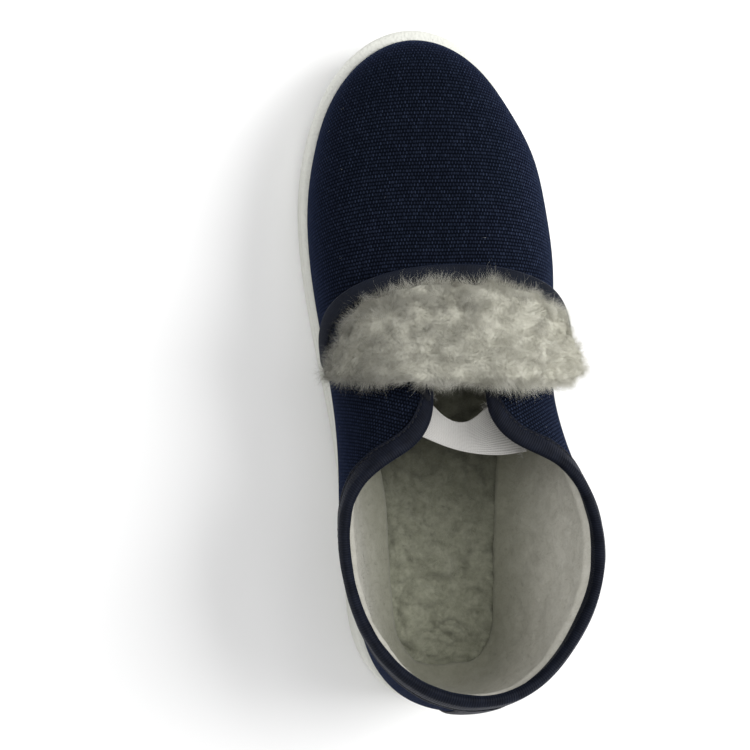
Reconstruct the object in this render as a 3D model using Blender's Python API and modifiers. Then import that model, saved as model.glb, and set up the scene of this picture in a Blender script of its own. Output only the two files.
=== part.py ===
# Antistatic padded work shoe, right foot: a canvas upper lined with fleece, open at
# the collar and throat, whose tongue is folded forward over the vamp, on a moulded
# cup sole. X points to the outer side of the foot, Y to the toe and Z up.
import functools
import math

import bmesh
import bpy
import numpy as np
from mathutils import Matrix, Vector
from mathutils.bvhtree import BVHTree

# Outsole
LENGTH = 0.282
BALL_WIDTH = 0.102
HEEL_THICKNESS = 0.029
WAIST_THICKNESS = 0.0245
BALL_THICKNESS = 0.022
TOE_THICKNESS = 0.0215
TOE_SPRING = 0.009
SPRING_START = 0.70
ARCH_LIFT = 0.0015
ARCH_START = 0.24
ARCH_END = 0.60
CUP_DEPTH = 0.007
SIDE_LEDGE = 0.0034
TOE_LEDGE = 0.0056
EDGE_ROUND = 0.0026
FLANGE_HEIGHT = 0.0062
FLANGE_STEP = 0.0009
GROOVE_WIDTH = 0.0011
LIP_DROP = 0.0028

# Tread
RIM_WIDTH = 0.0085
CHANNEL_WIDTH = 0.0016
TREAD_DEPTH = 0.0012
POCKET_DEPTH = 0.0009
BLOCK_WIDTH = 0.0075
BLOCK_GAP = 0.0075
OVAL_BORDER = 0.0022
WAVE_PITCH = 0.0110
WAVE_WIDTH = 0.0040
WAVE_HEIGHT = 0.0013
WAVE_LENGTH = 0.0180

# Upper
WALL = 0.0048
COLLAR_HEIGHT = 0.092
GAP = 0.0003

# Binding, stay, elastic and insole
TAPE = 0.0009
TAPE_OUTSIDE = 0.0095
TAPE_INSIDE = 0.0042
STAY_WIDTH = 0.020
STAY_THICKNESS = 0.0009
ELASTIC_THICKNESS = 0.0012
ELASTIC_SAG = 0.0015
INSOLE_THICKNESS = 0.0055

# Tongue, folded forward over the vamp
TONGUE_ROOT = 0.1335
TONGUE_SKEW = 0.0030
TONGUE_LENGTH = 0.0435
TONGUE_HALF = 0.0575
TONGUE_SHIFT = 0.0020
TONGUE_SIDE = 0.0110
TONGUE_ROUND = 2.4
TONGUE_SPRING_INNER = 0.0015
TONGUE_SPRING_OUTER = 0.0036
TONGUE_RADIUS = 0.060
TONGUE_AXIS_HEIGHT = 0.020
THROAT_MIDDLE = 0.003
TONGUE_REST = 0.0021
TONGUE_CANVAS = 0.0016
TONGUE_EASE = 0.0007
TONGUE_TAPE = 0.0058
PILE_HEIGHT = 0.0070
PILE_EDGE = 0.0026
PILE_LUMP = 0.0006
FOLD_OVERHANG = 0.0060

# Facets
COLUMNS = 72
UPPER_ROWS = 7
TONGUE_COLUMNS = 20

# Stretch panel across the throat. Columns: side, rear edge, front edge, in metres.
ELASTIC_EDGES = (
    (-0.0240, 0.1170, 0.1310),
    (-0.0180, 0.1150, 0.1310),
    (-0.0120, 0.1125, 0.1300),
    (-0.0060, 0.1100, 0.1275),
    (0.0000, 0.1075, 0.1205),
    (0.0060, 0.1055, 0.1190),
    (0.0120, 0.1040, 0.1220),
    (0.0190, 0.1035, 0.1260),
    (0.0260, 0.1045, 0.1280),
    (0.0310, 0.1055, 0.1290),
)

# Edge of the outsole from above, from the back of the heel round the outer side to
# the toe and home along the inner side. Columns: side (share of BALL_WIDTH), along
# (share of LENGTH).
OUTSOLE_EDGE = (
    (0.020, 0.000),
    (0.225, 0.023),
    (0.322, 0.075),
    (0.352, 0.160),
    (0.368, 0.270),
    (0.402, 0.390),
    (0.452, 0.505),
    (0.492, 0.610),
    (0.497, 0.705),
    (0.457, 0.800),
    (0.370, 0.889),
    (0.236, 0.960),
    (0.060, 0.996),
    (-0.070, 0.999),
    (-0.236, 0.974),
    (-0.374, 0.919),
    (-0.462, 0.838),
    (-0.497, 0.740),
    (-0.484, 0.640),
    (-0.437, 0.525),
    (-0.382, 0.405),
    (-0.345, 0.280),
    (-0.337, 0.160),
    (-0.296, 0.072),
    (-0.190, 0.021),
)

# Edge of the opening: the collar, then the throat slot under the tongue. Columns:
# around (share of the outsole's edge, from the back of the heel round the outer
# side), side (share of BALL_WIDTH), along (share of LENGTH), height (share of
# COLLAR_HEIGHT).
OPENING = (
    (0.000, 0.050, 0.041, 1.000),
    (0.045, 0.285, 0.066, 0.990),
    (0.085, 0.440, 0.126, 0.970),
    (0.130, 0.532, 0.200, 0.945),
    (0.165, 0.540, 0.262, 0.925),
    (0.205, 0.475, 0.330, 0.905),
    (0.240, 0.350, 0.368, 0.890),
    (0.268, 0.215, 0.394, 0.880),
    (0.290, 0.150, 0.427, 0.865),
    (0.312, 0.138, 0.458, 0.848),
    (0.400, 0.085, 0.476, 0.835),
    (0.500, 0.030, 0.479, 0.832),
    (0.600, -0.030, 0.476, 0.835),
    (0.690, -0.078, 0.456, 0.848),
    (0.712, -0.092, 0.425, 0.865),
    (0.735, -0.150, 0.392, 0.880),
    (0.762, -0.265, 0.366, 0.890),
    (0.795, -0.385, 0.330, 0.900),
    (0.835, -0.440, 0.270, 0.920),
    (0.873, -0.425, 0.200, 0.945),
    (0.915, -0.350, 0.128, 0.970),
    (0.957, -0.190, 0.068, 0.990),
)

# How the wall rises from the sole to the opening: its two inner control points.
# Columns: around, bulge and rise of the lower one, reach (share of the way to the
# opening's edge), bulge and rise of the upper one. Bulges are shares of BALL_WIDTH
# away from the foot, rises are shares of COLLAR_HEIGHT above the sole's top.
WALL_CURVE = (
    (0.000, 0.030, 0.220, 0.30, 0.020, 0.520),
    (0.085, 0.055, 0.220, 0.70, 0.030, 0.500),
    (0.150, 0.075, 0.220, 0.80, 0.020, 0.460),
    (0.225, 0.110, 0.240, 0.60, 0.060, 0.470),
    (0.290, 0.120, 0.290, 0.25, 0.020, 0.540),
    (0.350, 0.100, 0.290, 0.28, 0.000, 0.520),
    (0.420, 0.070, 0.270, 0.34, 0.000, 0.430),
    (0.500, 0.035, 0.250, 0.40, 0.000, 0.330),
    (0.580, 0.070, 0.270, 0.34, 0.000, 0.430),
    (0.650, 0.100, 0.290, 0.28, 0.000, 0.520),
    (0.710, 0.110, 0.290, 0.25, 0.020, 0.540),
    (0.775, 0.100, 0.240, 0.60, 0.050, 0.470),
    (0.850, 0.070, 0.220, 0.80, 0.020, 0.460),
    (0.920, 0.050, 0.220, 0.70, 0.030, 0.500),
)

# Materials: colour and roughness.
COLOURS = {
    "canvas_upper": ((0.010, 0.014, 0.040, 1.0), 0.85),
    "tongue_canvas": ((0.010, 0.014, 0.040, 1.0), 0.85),
    "collar_tape": ((0.012, 0.016, 0.034, 1.0), 0.70),
    "tongue_tape": ((0.012, 0.016, 0.034, 1.0), 0.70),
    "heel_tape": ((0.012, 0.016, 0.034, 1.0), 0.70),
    "tongue_pile": ((0.62, 0.61, 0.55, 1.0), 0.95),
    "insole_fleece": ((0.50, 0.49, 0.43, 1.0), 0.95),
    "white_elastic": ((0.74, 0.73, 0.70, 1.0), 0.80),
    "moulded_sole": ((0.60, 0.61, 0.56, 1.0), 0.55),
}


class ClosedCurve:
    """Smooth closed curve through points, at places from 0 to 1 round it."""

    def __init__(self, places, points):
        self.places = np.append(places, places[0] + 1.0)
        self.points = np.vstack([points, points[:1]])
        steps = np.diff(self.places)
        count = len(steps)
        system = np.zeros((count, count))
        right = np.zeros((count, self.points.shape[1]))
        slopes = np.diff(self.points, axis=0) / steps[:, None]
        for i in range(count):
            system[i, i - 1] += steps[i - 1]
            system[i, i] += 2 * (steps[i - 1] + steps[i])
            system[i, (i + 1) % count] += steps[i]
            right[i] = 6 * (slopes[i] - slopes[i - 1])
        bends = np.linalg.solve(system, right)
        self.bends = np.vstack([bends, bends[:1]])

    def at(self, place):
        place = (place - self.places[0]) % 1.0 + self.places[0]
        i = min(int(np.searchsorted(self.places, place, "right")) - 1, len(self.places) - 2)
        step = self.places[i + 1] - self.places[i]
        b = (place - self.places[i]) / step
        a = 1.0 - b
        bend = (a**3 - a) * self.bends[i] + (b**3 - b) * self.bends[i + 1]
        return a * self.points[i] + b * self.points[i + 1] + bend * step**2 / 6


def outsole_edge_curve():
    """The outsole's edge, with places that are shares of its length round."""
    points = np.array(OUTSOLE_EDGE) * (BALL_WIDTH, LENGTH)
    chords = np.linalg.norm(np.roll(points, -1, axis=0) - points, axis=1)
    places = np.concatenate([[0.0], np.cumsum(chords)[:-1]]) / chords.sum()
    return ClosedCurve(places, points)


EDGE = outsole_edge_curve()
OPENING_CURVE = ClosedCurve(
    np.array(OPENING)[:, 0],
    np.array(OPENING)[:, 1:] * (BALL_WIDTH, LENGTH, COLLAR_HEIGHT),
)
WALL_SHAPE = ClosedCurve(np.array(WALL_CURVE)[:, 0], np.array(WALL_CURVE)[:, 1:])


def outward(place):
    """Unit vector away from the foot at a place on the outsole's edge."""
    step = 0.002
    along = EDGE.at(place + step) - EDGE.at(place - step)
    return np.array([along[1], -along[0]]) / np.linalg.norm(along)


def inset_edge(place, inset):
    """Point of the outsole's edge, moved towards the foot."""
    return EDGE.at(place) - outward(place) * inset


def blend(low, high, share):
    share = min(max(share, 0.0), 1.0)
    return low + (high - low) * share * share * (3 - 2 * share)


def lift(y):
    """Height of the tread above the floor: a low arch, then the toe spring."""
    along = y / LENGTH
    arch = min(max((along - ARCH_START) / (ARCH_END - ARCH_START), 0.0), 1.0)
    spring = max(0.0, (along - SPRING_START) / (1 - SPRING_START))
    return ARCH_LIFT * math.sin(math.pi * arch) ** 2 + TOE_SPRING * spring**1.8


def thickness(y):
    """Height of the sole's side, which is tallest at the heel."""
    along = y / LENGTH
    rear = blend(HEEL_THICKNESS, WAIST_THICKNESS, (along - 0.12) / 0.30)
    middle = blend(rear, BALL_THICKNESS, (along - 0.36) / 0.26)
    return blend(middle, TOE_THICKNESS, (along - 0.75) / 0.20)


def ledge(place):
    """Width of the sole's top edge that shows round the upper, widest at the toe."""
    toe = math.exp(-(((place - 0.5) / 0.10) ** 2))
    return SIDE_LEDGE + (TOE_LEDGE - SIDE_LEDGE) * toe


@functools.lru_cache(maxsize=None)
def wall_controls(place):
    """The four control points of the wall's curve from the sole to the opening."""
    foot = inset_edge(place, ledge(place))
    base = lift(foot[1]) + thickness(foot[1])
    rim = OPENING_CURVE.at(place)
    bulge_low, rise_low, reach, bulge_high, rise_high = WALL_SHAPE.at(place)
    away = outward(place)
    low = foot + away * bulge_low * BALL_WIDTH
    high = foot + (rim[:2] - foot) * reach + away * bulge_high * BALL_WIDTH
    start = np.array([foot[0], foot[1], base])
    low = np.array([low[0], low[1], base + rise_low * COLLAR_HEIGHT])
    high = np.array([high[0], high[1], base + rise_high * COLLAR_HEIGHT])
    return start, low, high, rim


def upper_point(place, up):
    """Point of the canvas: up is 0 on the sole's top and 1 on the opening's edge,
    and below 0 it goes straight down into the cup, to -1 near its floor."""
    start, low, high, end = wall_controls(place)
    if up < 0:
        return start + np.array([0.0, 0.0, up * (CUP_DEPTH - GAP)])
    left = 1 - up
    return left**3 * start + 3 * left**2 * up * low + 3 * left * up**2 * high + up**3 * end


def upper_normal(place, up):
    """Unit vector out of the canvas."""
    step = 0.004
    low, high = max(up - step, 0.0), min(up + step, 1.0)
    around = upper_point(place + step, up) - upper_point(place - step, up)
    rising = upper_point(place, high) - upper_point(place, low)
    normal = np.cross(around, rising)
    return normal / np.linalg.norm(normal)


def wall_point(place, up, out=0.0):
    """Point beside the canvas, out metres away from the foot, or inside it below 0."""
    if up < 0:
        away = np.append(outward(place), 0.0)
        return upper_point(place, up) + away * out
    return upper_point(place, up) + upper_normal(place, up) * out


def places(count=COLUMNS):
    return [i / count for i in range(count)]


def rows(count, power=1.25):
    """Shares from 0 to 1, closer together near the sole."""
    return [(i / count) ** power for i in range(count + 1)]


def new_object(name, mesh, collection):
    thing = bpy.data.objects.new(name, mesh)
    collection.objects.link(thing)
    return thing


def surface(name, lines, collection, closed=False, caps=False, loop=False):
    """Faces between neighbouring lines of points, closed round each line or not.
    With loop, the last line joins the first."""
    shape = bmesh.new()
    made = [[shape.verts.new(point) for point in line] for line in lines]
    count = len(lines[0])
    for below, above in zip(made, made[1:] + (made[:1] if loop else [])):
        for i in range(count if closed else count - 1):
            j = (i + 1) % count
            shape.faces.new((below[i], below[j], above[j], above[i]))
    if caps:
        for line in (made[0], made[-1]):
            strip_cap(shape, line)
    bmesh.ops.recalc_face_normals(shape, faces=shape.faces)
    mesh = bpy.data.meshes.new(name)
    shape.to_mesh(mesh)
    shape.free()
    return new_object(name, mesh, collection)


def strip_cap(shape, ring):
    """Closes a ring with strips from one side of the foot to the other."""
    last = len(ring)
    half = last // 2
    shape.faces.new((ring[0], ring[1], ring[last - 1]))
    for i in range(1, half - 1):
        shape.faces.new((ring[i], ring[i + 1], ring[last - i - 1], ring[last - i]))
    shape.faces.new((ring[half - 1], ring[half], ring[half + 1]))


def thicken(thing, amount, offset=1.0):
    """Gives an open surface its wall: offset 1 grows it outward, -1 inward."""
    wall = thing.modifiers.new("Wall", "SOLIDIFY")
    wall.thickness = amount
    wall.offset = offset
    wall.use_even_offset = False
    return wall


def material(name):
    colour, roughness = COLOURS[name]
    made = bpy.data.materials.new(name)
    made.use_nodes = True
    shader = made.node_tree.nodes["Principled BSDF"]
    shader.inputs["Base Color"].default_value = colour
    shader.inputs["Roughness"].default_value = roughness
    return made


def prism(name, outline, low, high, collection):
    """Upright solid of a flat closed outline."""
    lines = [[(x, y, z) for x, y in outline] for z in (low, high)]
    shape = bmesh.new()
    made = [[shape.verts.new(point) for point in line] for line in lines]
    for i in range(len(outline)):
        j = (i + 1) % len(outline)
        shape.faces.new((made[0][i], made[0][j], made[1][j], made[1][i]))
    shape.faces.new(made[0])
    shape.faces.new(made[1])
    bmesh.ops.recalc_face_normals(shape, faces=shape.faces)
    mesh = bpy.data.meshes.new(name)
    shape.to_mesh(mesh)
    shape.free()
    cutter = new_object(name, mesh, collection)
    cutter.hide_render = True
    cutter.display_type = "WIRE"
    return cutter


def boolean(thing, other, operation):
    cut = thing.modifiers.new(operation.title(), "BOOLEAN")
    cut.operation = operation
    cut.object = other


def apply_all(thing):
    """Replaces the object's mesh with what its modifiers make of it."""
    bpy.context.view_layer.update()
    ready = thing.evaluated_get(bpy.context.evaluated_depsgraph_get())
    mesh = bpy.data.meshes.new_from_object(ready)
    thing.modifiers.clear()
    thing.data = mesh


def outsole(parts, cutters):
    """Cup sole, moulded flat and then bent to its arch and toe spring."""
    profile = (
        # inset from the edge, height as a share of the side, height added
        (EDGE_ROUND, 0.0, 0.0),
        (EDGE_ROUND * 0.28, 0.0, EDGE_ROUND * 0.30),
        (0.0, 0.0, EDGE_ROUND),
        (0.0004, 0.55, 0.0),
        (FLANGE_STEP, 1.0, -FLANGE_HEIGHT - GROOVE_WIDTH),
        (FLANGE_STEP + GROOVE_WIDTH, 1.0, -FLANGE_HEIGHT - GROOVE_WIDTH / 2),
        (0.0002, 1.0, -FLANGE_HEIGHT),
        (0.0002, 1.0, -LIP_DROP),
        (0.0012, 1.0, -LIP_DROP * 0.35),
    )
    lines = []
    for inset, share, added in profile:
        line = []
        for place in places():
            x, y = inset_edge(place, inset)
            line.append((x, y, share * thickness(y) + added))
        lines.append(line)
    for depth in (0.0, CUP_DEPTH):
        line = []
        for place in places():
            x, y = inset_edge(place, ledge(place) - GAP)
            line.append((x, y, thickness(y) - depth))
        lines.append(line)
    sole = surface("outsole", lines, parts, closed=True, caps=True)
    cut_tread(sole, cutters)
    bend_to_last(sole)
    return sole


def oval(centre, half_width, half_length, count=32):
    """Flat outline of a long tread panel with round ends."""
    made = []
    for i in range(count):
        turn = 2 * math.pi * i / count
        across, along = math.cos(turn), math.sin(turn)
        made.append(
            (
                centre[0] + half_width * math.copysign(abs(across) ** 0.8, across),
                centre[1] + half_length * math.copysign(abs(along) ** 0.9, along),
            )
        )
    return made


# The two patterned panels of the tread. Columns: side and along of the centre,
# half width and half length, as shares of BALL_WIDTH and LENGTH.
PANELS = (
    (0.015, 0.205, 0.150, 0.125),
    (0.000, 0.700, 0.270, 0.195),
)


def panel(row, grow=0.0):
    side, along, half_width, half_length = row
    return oval(
        (side * BALL_WIDTH, along * LENGTH),
        half_width * BALL_WIDTH + grow,
        half_length * LENGTH + grow,
    )


def cut_tread(sole, cutters):
    """Channel inside the rim, pockets between the blocks, and the two oval panels."""
    deep, shallow = TREAD_DEPTH, POCKET_DEPTH
    rings = [
        [tuple(inset_edge(place, RIM_WIDTH + CHANNEL_WIDTH * share)) for place in places()]
        for share in (0.0, 0.5, 1.0)
    ]
    channel = prism("channel_cutter", rings[0], -deep, deep, cutters)
    boolean(channel, prism("field_cutter", rings[2], -2 * deep, 2 * deep, cutters), "DIFFERENCE")
    pockets = prism("pocket_cutter", rings[1], -shallow, shallow, cutters)
    boolean(pockets, pocket_bars(cutters), "INTERSECT")
    for index, row in enumerate(PANELS):
        border = panel(row, OVAL_BORDER)
        boolean(pockets, prism(f"border_cutter_{index}", border, -2 * deep, 2 * deep, cutters), "DIFFERENCE")
    boolean(sole, channel, "DIFFERENCE")
    boolean(sole, pockets, "DIFFERENCE")
    for index, row in enumerate(PANELS):
        recess = prism(f"panel_cutter_{index}", panel(row), -deep, deep, cutters)
        boolean(recess, wavy_ribs(f"rib_cutter_{index}", row, cutters), "DIFFERENCE")
        boolean(sole, recess, "DIFFERENCE")
    apply_all(sole)


def wavy_ribs(name, row, cutters):
    """Wavy bars across a panel, that the panel's recess leaves standing."""
    side, along, half_width, half_length = row
    count = int(2 * half_length * LENGTH / WAVE_PITCH) - 1
    steps = math.ceil(2 * half_width * BALL_WIDTH / (WAVE_LENGTH / 4)) + 1
    shape = bmesh.new()
    for k in range(count):
        middle = along * LENGTH + (k - (count - 1) / 2) * WAVE_PITCH
        edges = {-1: [], 1: []}
        for i in range(steps + 1):
            x = side * BALL_WIDTH + (i / steps - 0.5) * steps * WAVE_LENGTH / 4
            wave = WAVE_HEIGHT * math.sin(math.pi * i / 2 + 0.4)
            for edge in edges:
                edges[edge].append((x, middle + wave + edge * WAVE_WIDTH / 2))
        outline = edges[-1] + edges[1][::-1]
        made = [[shape.verts.new((x, y, z)) for x, y in outline] for z in (-0.004, 0.004)]
        last = len(outline)
        for i in range(last):
            j = (i + 1) % last
            shape.faces.new((made[0][i], made[0][j], made[1][j], made[1][i]))
        for ring in made:
            for i in range(steps):
                shape.faces.new((ring[i], ring[i + 1], ring[last - 2 - i], ring[last - 1 - i]))
    bmesh.ops.recalc_face_normals(shape, faces=shape.faces)
    mesh = bpy.data.meshes.new(name)
    shape.to_mesh(mesh)
    shape.free()
    ribs = new_object(name, mesh, cutters)
    ribs.hide_render = True
    ribs.display_type = "WIRE"
    return ribs


def pocket_bars(cutters):
    """Row of bars across the sole, beside each panel, that sink every other block."""
    shape = bmesh.new()
    pitch = BLOCK_WIDTH + BLOCK_GAP
    for side, along, half_width, half_length in PANELS:
        span = 2 * half_length * LENGTH * 0.92
        count = int(span / pitch)
        for i in range(count):
            y = along * LENGTH + (i - (count - 1) / 2) * pitch
            bar = bmesh.ops.create_cube(shape, size=1.0)["verts"]
            bmesh.ops.scale(shape, vec=(BALL_WIDTH * 1.2, BLOCK_GAP, TREAD_DEPTH * 6), verts=bar)
            bmesh.ops.translate(shape, vec=(0.0, y, 0.0), verts=bar)
    mesh = bpy.data.meshes.new("pocket_bars")
    shape.to_mesh(mesh)
    shape.free()
    bars = new_object("pocket_bars", mesh, cutters)
    bars.hide_render = True
    bars.display_type = "WIRE"
    return bars


def bend_to_last(sole):
    """Lifts the flat sole to its arch and toe spring, after cutting it across."""
    shape = bmesh.new()
    shape.from_mesh(sole.data)
    bmesh.ops.remove_doubles(shape, verts=shape.verts, dist=2e-5)
    cuts = [ARCH_START + (ARCH_END - ARCH_START) * i / 4 for i in range(5)]
    cuts += [SPRING_START + (1 - SPRING_START) * (i / 6) ** 0.8 for i in range(6)]
    for along in cuts:
        everything = shape.verts[:] + shape.edges[:] + shape.faces[:]
        bmesh.ops.bisect_plane(
            shape,
            geom=everything,
            plane_co=(0.0, along * LENGTH, 0.0),
            plane_no=(0.0, 1.0, 0.0),
            dist=1e-6,
        )
    bmesh.ops.remove_doubles(shape, verts=shape.verts, dist=2e-5)
    bmesh.ops.triangulate(shape, faces=shape.faces)
    for vert in shape.verts:
        vert.co.z += lift(vert.co.y)
    shape.to_mesh(sole.data)
    shape.free()


def share_for(place, distance):
    """How far up the wall, from 0 to 1, lies a point that is distance from the edge."""
    low, high = 0.0, 1.0
    edge = upper_point(place, 1.0)
    for _ in range(24):
        middle = (low + high) / 2
        if np.linalg.norm(upper_point(place, middle) - edge) > distance:
            low = middle
        else:
            high = middle
    return (low + high) / 2


def row_share(place, row):
    """Rows of the upper: evenly up to the tape, then two more under the tape."""
    if row <= UPPER_ROWS:
        return share_for(place, TAPE_OUTSIDE) * (row / UPPER_ROWS) ** 1.2
    return share_for(place, TAPE_OUTSIDE) + (1 - share_for(place, TAPE_OUTSIDE)) * (row - UPPER_ROWS) / 2


def upper(parts):
    """Canvas and fleece laminate, one wall from the cup to the collar and throat."""
    outside, inside = [], []
    for lines, out in ((outside, 0.0), (inside, -WALL)):
        lines.append([wall_point(place, -1.0, out) for place in places()])
        for row in range(UPPER_ROWS + 3):
            lines.append([wall_point(place, row_share(place, row), out) for place in places()])
    return surface("upper", outside + inside[::-1], parts, closed=True, loop=True)


def insole(parts):
    """Fleece footbed on the floor of the cup, inside the wall."""
    inset = WALL + 2 * GAP
    heights = (
        (inset + 0.0008, 0.0),
        (inset, 0.0012),
        (inset, INSOLE_THICKNESS - 0.0020),
        (inset + 0.0022, INSOLE_THICKNESS),
    )
    lines = []
    for extra, height in heights:
        line = []
        for place in places():
            x, y = inset_edge(place, ledge(place) + extra)
            floor = lift(y) + thickness(y) - CUP_DEPTH + GAP
            line.append((x, y, floor + height))
        lines.append(line)
    return surface("insole", lines, parts, closed=True, caps=True)


def collar_binding(parts):
    """Tape folded over the whole edge of the opening."""
    lines = []
    outside, inside = GAP, -WALL - GAP
    for place in places():
        edge = upper_point(place, 1.0)
        rising = edge - upper_point(place, share_for(place, 0.003))
        rising /= np.linalg.norm(rising)
        normal = upper_normal(place, 1.0)
        line = [wall_point(place, row_share(place, UPPER_ROWS + s), outside) for s in (0, 1)]
        line += [edge + normal * outside, edge + rising * GAP, edge - normal * WALL + rising * GAP]
        line += [edge + normal * inside, wall_point(place, share_for(place, TAPE_INSIDE), inside)]
        lines.append(line)
    lines.append(lines[0])
    return tape_strip("collar_binding", lines, parts)


def tape_strip(name, lines, parts):
    """Strip of tape along a path, welded where its ends meet, with its thickness."""
    tape = surface(name, lines, parts)
    shape = bmesh.new()
    shape.from_mesh(tape.data)
    bmesh.ops.remove_doubles(shape, verts=shape.verts, dist=1e-6)
    bmesh.ops.recalc_face_normals(shape, faces=shape.faces)
    shape.to_mesh(tape.data)
    shape.free()
    thicken(tape, TAPE, 1.0)
    return tape


def heel_stay(parts):
    """Upright tape over the back seam, from the sole's top to the binding."""
    half = max(1, round(STAY_WIDTH / 2 * COLUMNS / edge_length()))
    lines = []
    for row in range(UPPER_ROWS + 1):
        line = []
        for i in range(-half, half + 1):
            place = i / COLUMNS
            up = row_share(place, row)
            top = share_for(place, TAPE_OUTSIDE + 2 * GAP)
            line.append(wall_point(place, min(max(up, 0.012), top), GAP))
        lines.append(line)
    stay = surface("heel_stay", lines, parts)
    thicken(stay, STAY_THICKNESS, 1.0)
    return stay


def edge_length():
    points = [EDGE.at(place) for place in places(200)]
    return sum(np.linalg.norm(a - b) for a, b in zip(points, points[1:] + points[:1]))


def tree_of(*things, extra=()):
    """Search tree of finished meshes, with extra four-cornered patches."""
    bpy.context.view_layer.update()
    depsgraph = bpy.context.evaluated_depsgraph_get()
    points, faces = [], []
    for thing in things:
        mesh = thing.evaluated_get(depsgraph).to_mesh()
        start = len(points)
        points += [vert.co.copy() for vert in mesh.vertices]
        faces += [tuple(start + i for i in face.vertices) for face in mesh.polygons]
    for patch in extra:
        start = len(points)
        points += [Vector(corner) for corner in patch]
        faces.append(tuple(range(start, start + 4)))
    return BVHTree.FromPolygons(points, faces)


def elastic(parts, shell, binding):
    """Stretch panel between the two sides of the throat, tucked under both."""
    tree = tree_of(shell, binding)
    count = 5
    lines = []
    for x, rear, front in ELASTIC_EDGES:
        lines.append([Vector((x, rear + (front - rear) * j / (count - 1), 0.0)) for j in range(count)])
    low = {-1: [], 1: []}
    for line in lines:
        for point in line:
            hit = tree.ray_cast(point + Vector((0.0, 0.0, 0.050)), Vector((0.0, 0.0, 1.0)))[0]
            if hit is not None:
                low[-1 if point.x < THROAT_MIDDLE else 1].append(hit.z)
    first, last = lines[0][0].x, lines[-1][0].x
    for line in lines:
        for point in line:
            share = (point.x - first) / (last - first)
            top = min(low[-1]) * (1 - share) + min(low[1]) * share
            sag = ELASTIC_SAG * math.sin(math.pi * share) ** 2
            point.z = top - GAP - sag - ELASTIC_THICKNESS
    band = surface("elastic", [[tuple(p) for p in line] for line in lines], parts)
    thicken(band, ELASTIC_THICKNESS, 1.0)
    return band


def throat_patches():
    """Patches that close the throat slot, for laying the tongue over it."""
    pairs = [(0.45, 0.55), (0.40, 0.60), (0.36, 0.64), (0.33, 0.67), (0.312, 0.69)]
    pairs += [(0.29, 0.712), (0.268, 0.735), (0.24, 0.762)]
    lines = []
    for outer, inner in pairs:
        ends = upper_point(outer, 1.0), upper_point(inner, 1.0)
        reach = (ends[0] - ends[1]) / np.linalg.norm(ends[0] - ends[1]) * 0.004
        sink = np.array([0.0, 0.0, 0.0006])
        lines.append((ends[0] + reach - sink, ends[1] - reach - sink))
    ahead = np.array([0.0, 0.003, 0.0])
    lines.insert(0, (lines[0][0] + ahead, lines[0][1] + ahead))
    return [(a[0], a[1], b[1], b[0]) for a, b in zip(lines, lines[1:])]


def lay_over(tree, across, along, out):
    """Point of the folded tongue: out metres above the upper, across metres round it
    from the tongue's middle, where its sides spring away a little."""
    angle = (across + TONGUE_SHIFT) / TONGUE_RADIUS
    away = Vector((math.sin(angle), 0.0, math.cos(angle)))
    axis = Vector((THROAT_MIDDLE, along, TONGUE_AXIS_HEIGHT))
    hit = tree.ray_cast(axis + away * 0.2, -away)[0]
    spring = TONGUE_SPRING_OUTER if across > 0 else TONGUE_SPRING_INNER
    return hit + away * (out + spring * min(abs(across) / TONGUE_HALF, 1.0) ** 3)


def tongue_root(across):
    """The fold's place along the foot, a little skewed."""
    return TONGUE_ROOT - TONGUE_SKEW * across / TONGUE_HALF


def tongue_free(across, inset=0.0):
    """The folded tongue's free edge: how far along it lies at a place across."""
    share = min(abs(across) / (TONGUE_HALF - inset), 1.0)
    reach = TONGUE_ROOT + TONGUE_LENGTH - inset
    side = tongue_root(across) + max(TONGUE_SIDE - inset, 0.004)
    return side + (reach - side) * (1 - share**TONGUE_ROUND) ** (1 / 1.8)


def tongue_columns(count, inset=0.0):
    """Places across the tongue, closer together at its rounded corners."""
    return [(TONGUE_HALF - inset) * math.sin(math.pi / 2 * (2 * i / count - 1)) for i in range(count + 1)]


def tongue(parts, tree):
    """Canvas of the tongue, folded forward flat over the vamp."""
    lines = []
    for across in tongue_columns(TONGUE_COLUMNS):
        root, free = tongue_root(across), tongue_free(across)
        places_along = [root + (free - root) * j / 8 for j in range(9)]
        line = [lay_over(tree, across, along, TONGUE_REST) for along in places_along]
        line += [lay_over(tree, across, along, TONGUE_REST + TONGUE_CANVAS) for along in places_along[::-1]]
        lines.append([tuple(point) for point in line])
    return loft("tongue", lines, parts)


def loft(name, rings, collection):
    """Solid through closed rings of points, with a flat end at the first and last."""
    shape = bmesh.new()
    made = [[shape.verts.new(point) for point in ring] for ring in rings]
    count = len(rings[0])
    for left, right in zip(made, made[1:]):
        for i in range(count):
            j = (i + 1) % count
            shape.faces.new((left[i], left[j], right[j], right[i]))
    shape.faces.new(made[0])
    shape.faces.new(made[-1])
    bmesh.ops.recalc_face_normals(shape, faces=shape.faces)
    mesh = bpy.data.meshes.new(name)
    shape.to_mesh(mesh)
    shape.free()
    return new_object(name, mesh, collection)


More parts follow.
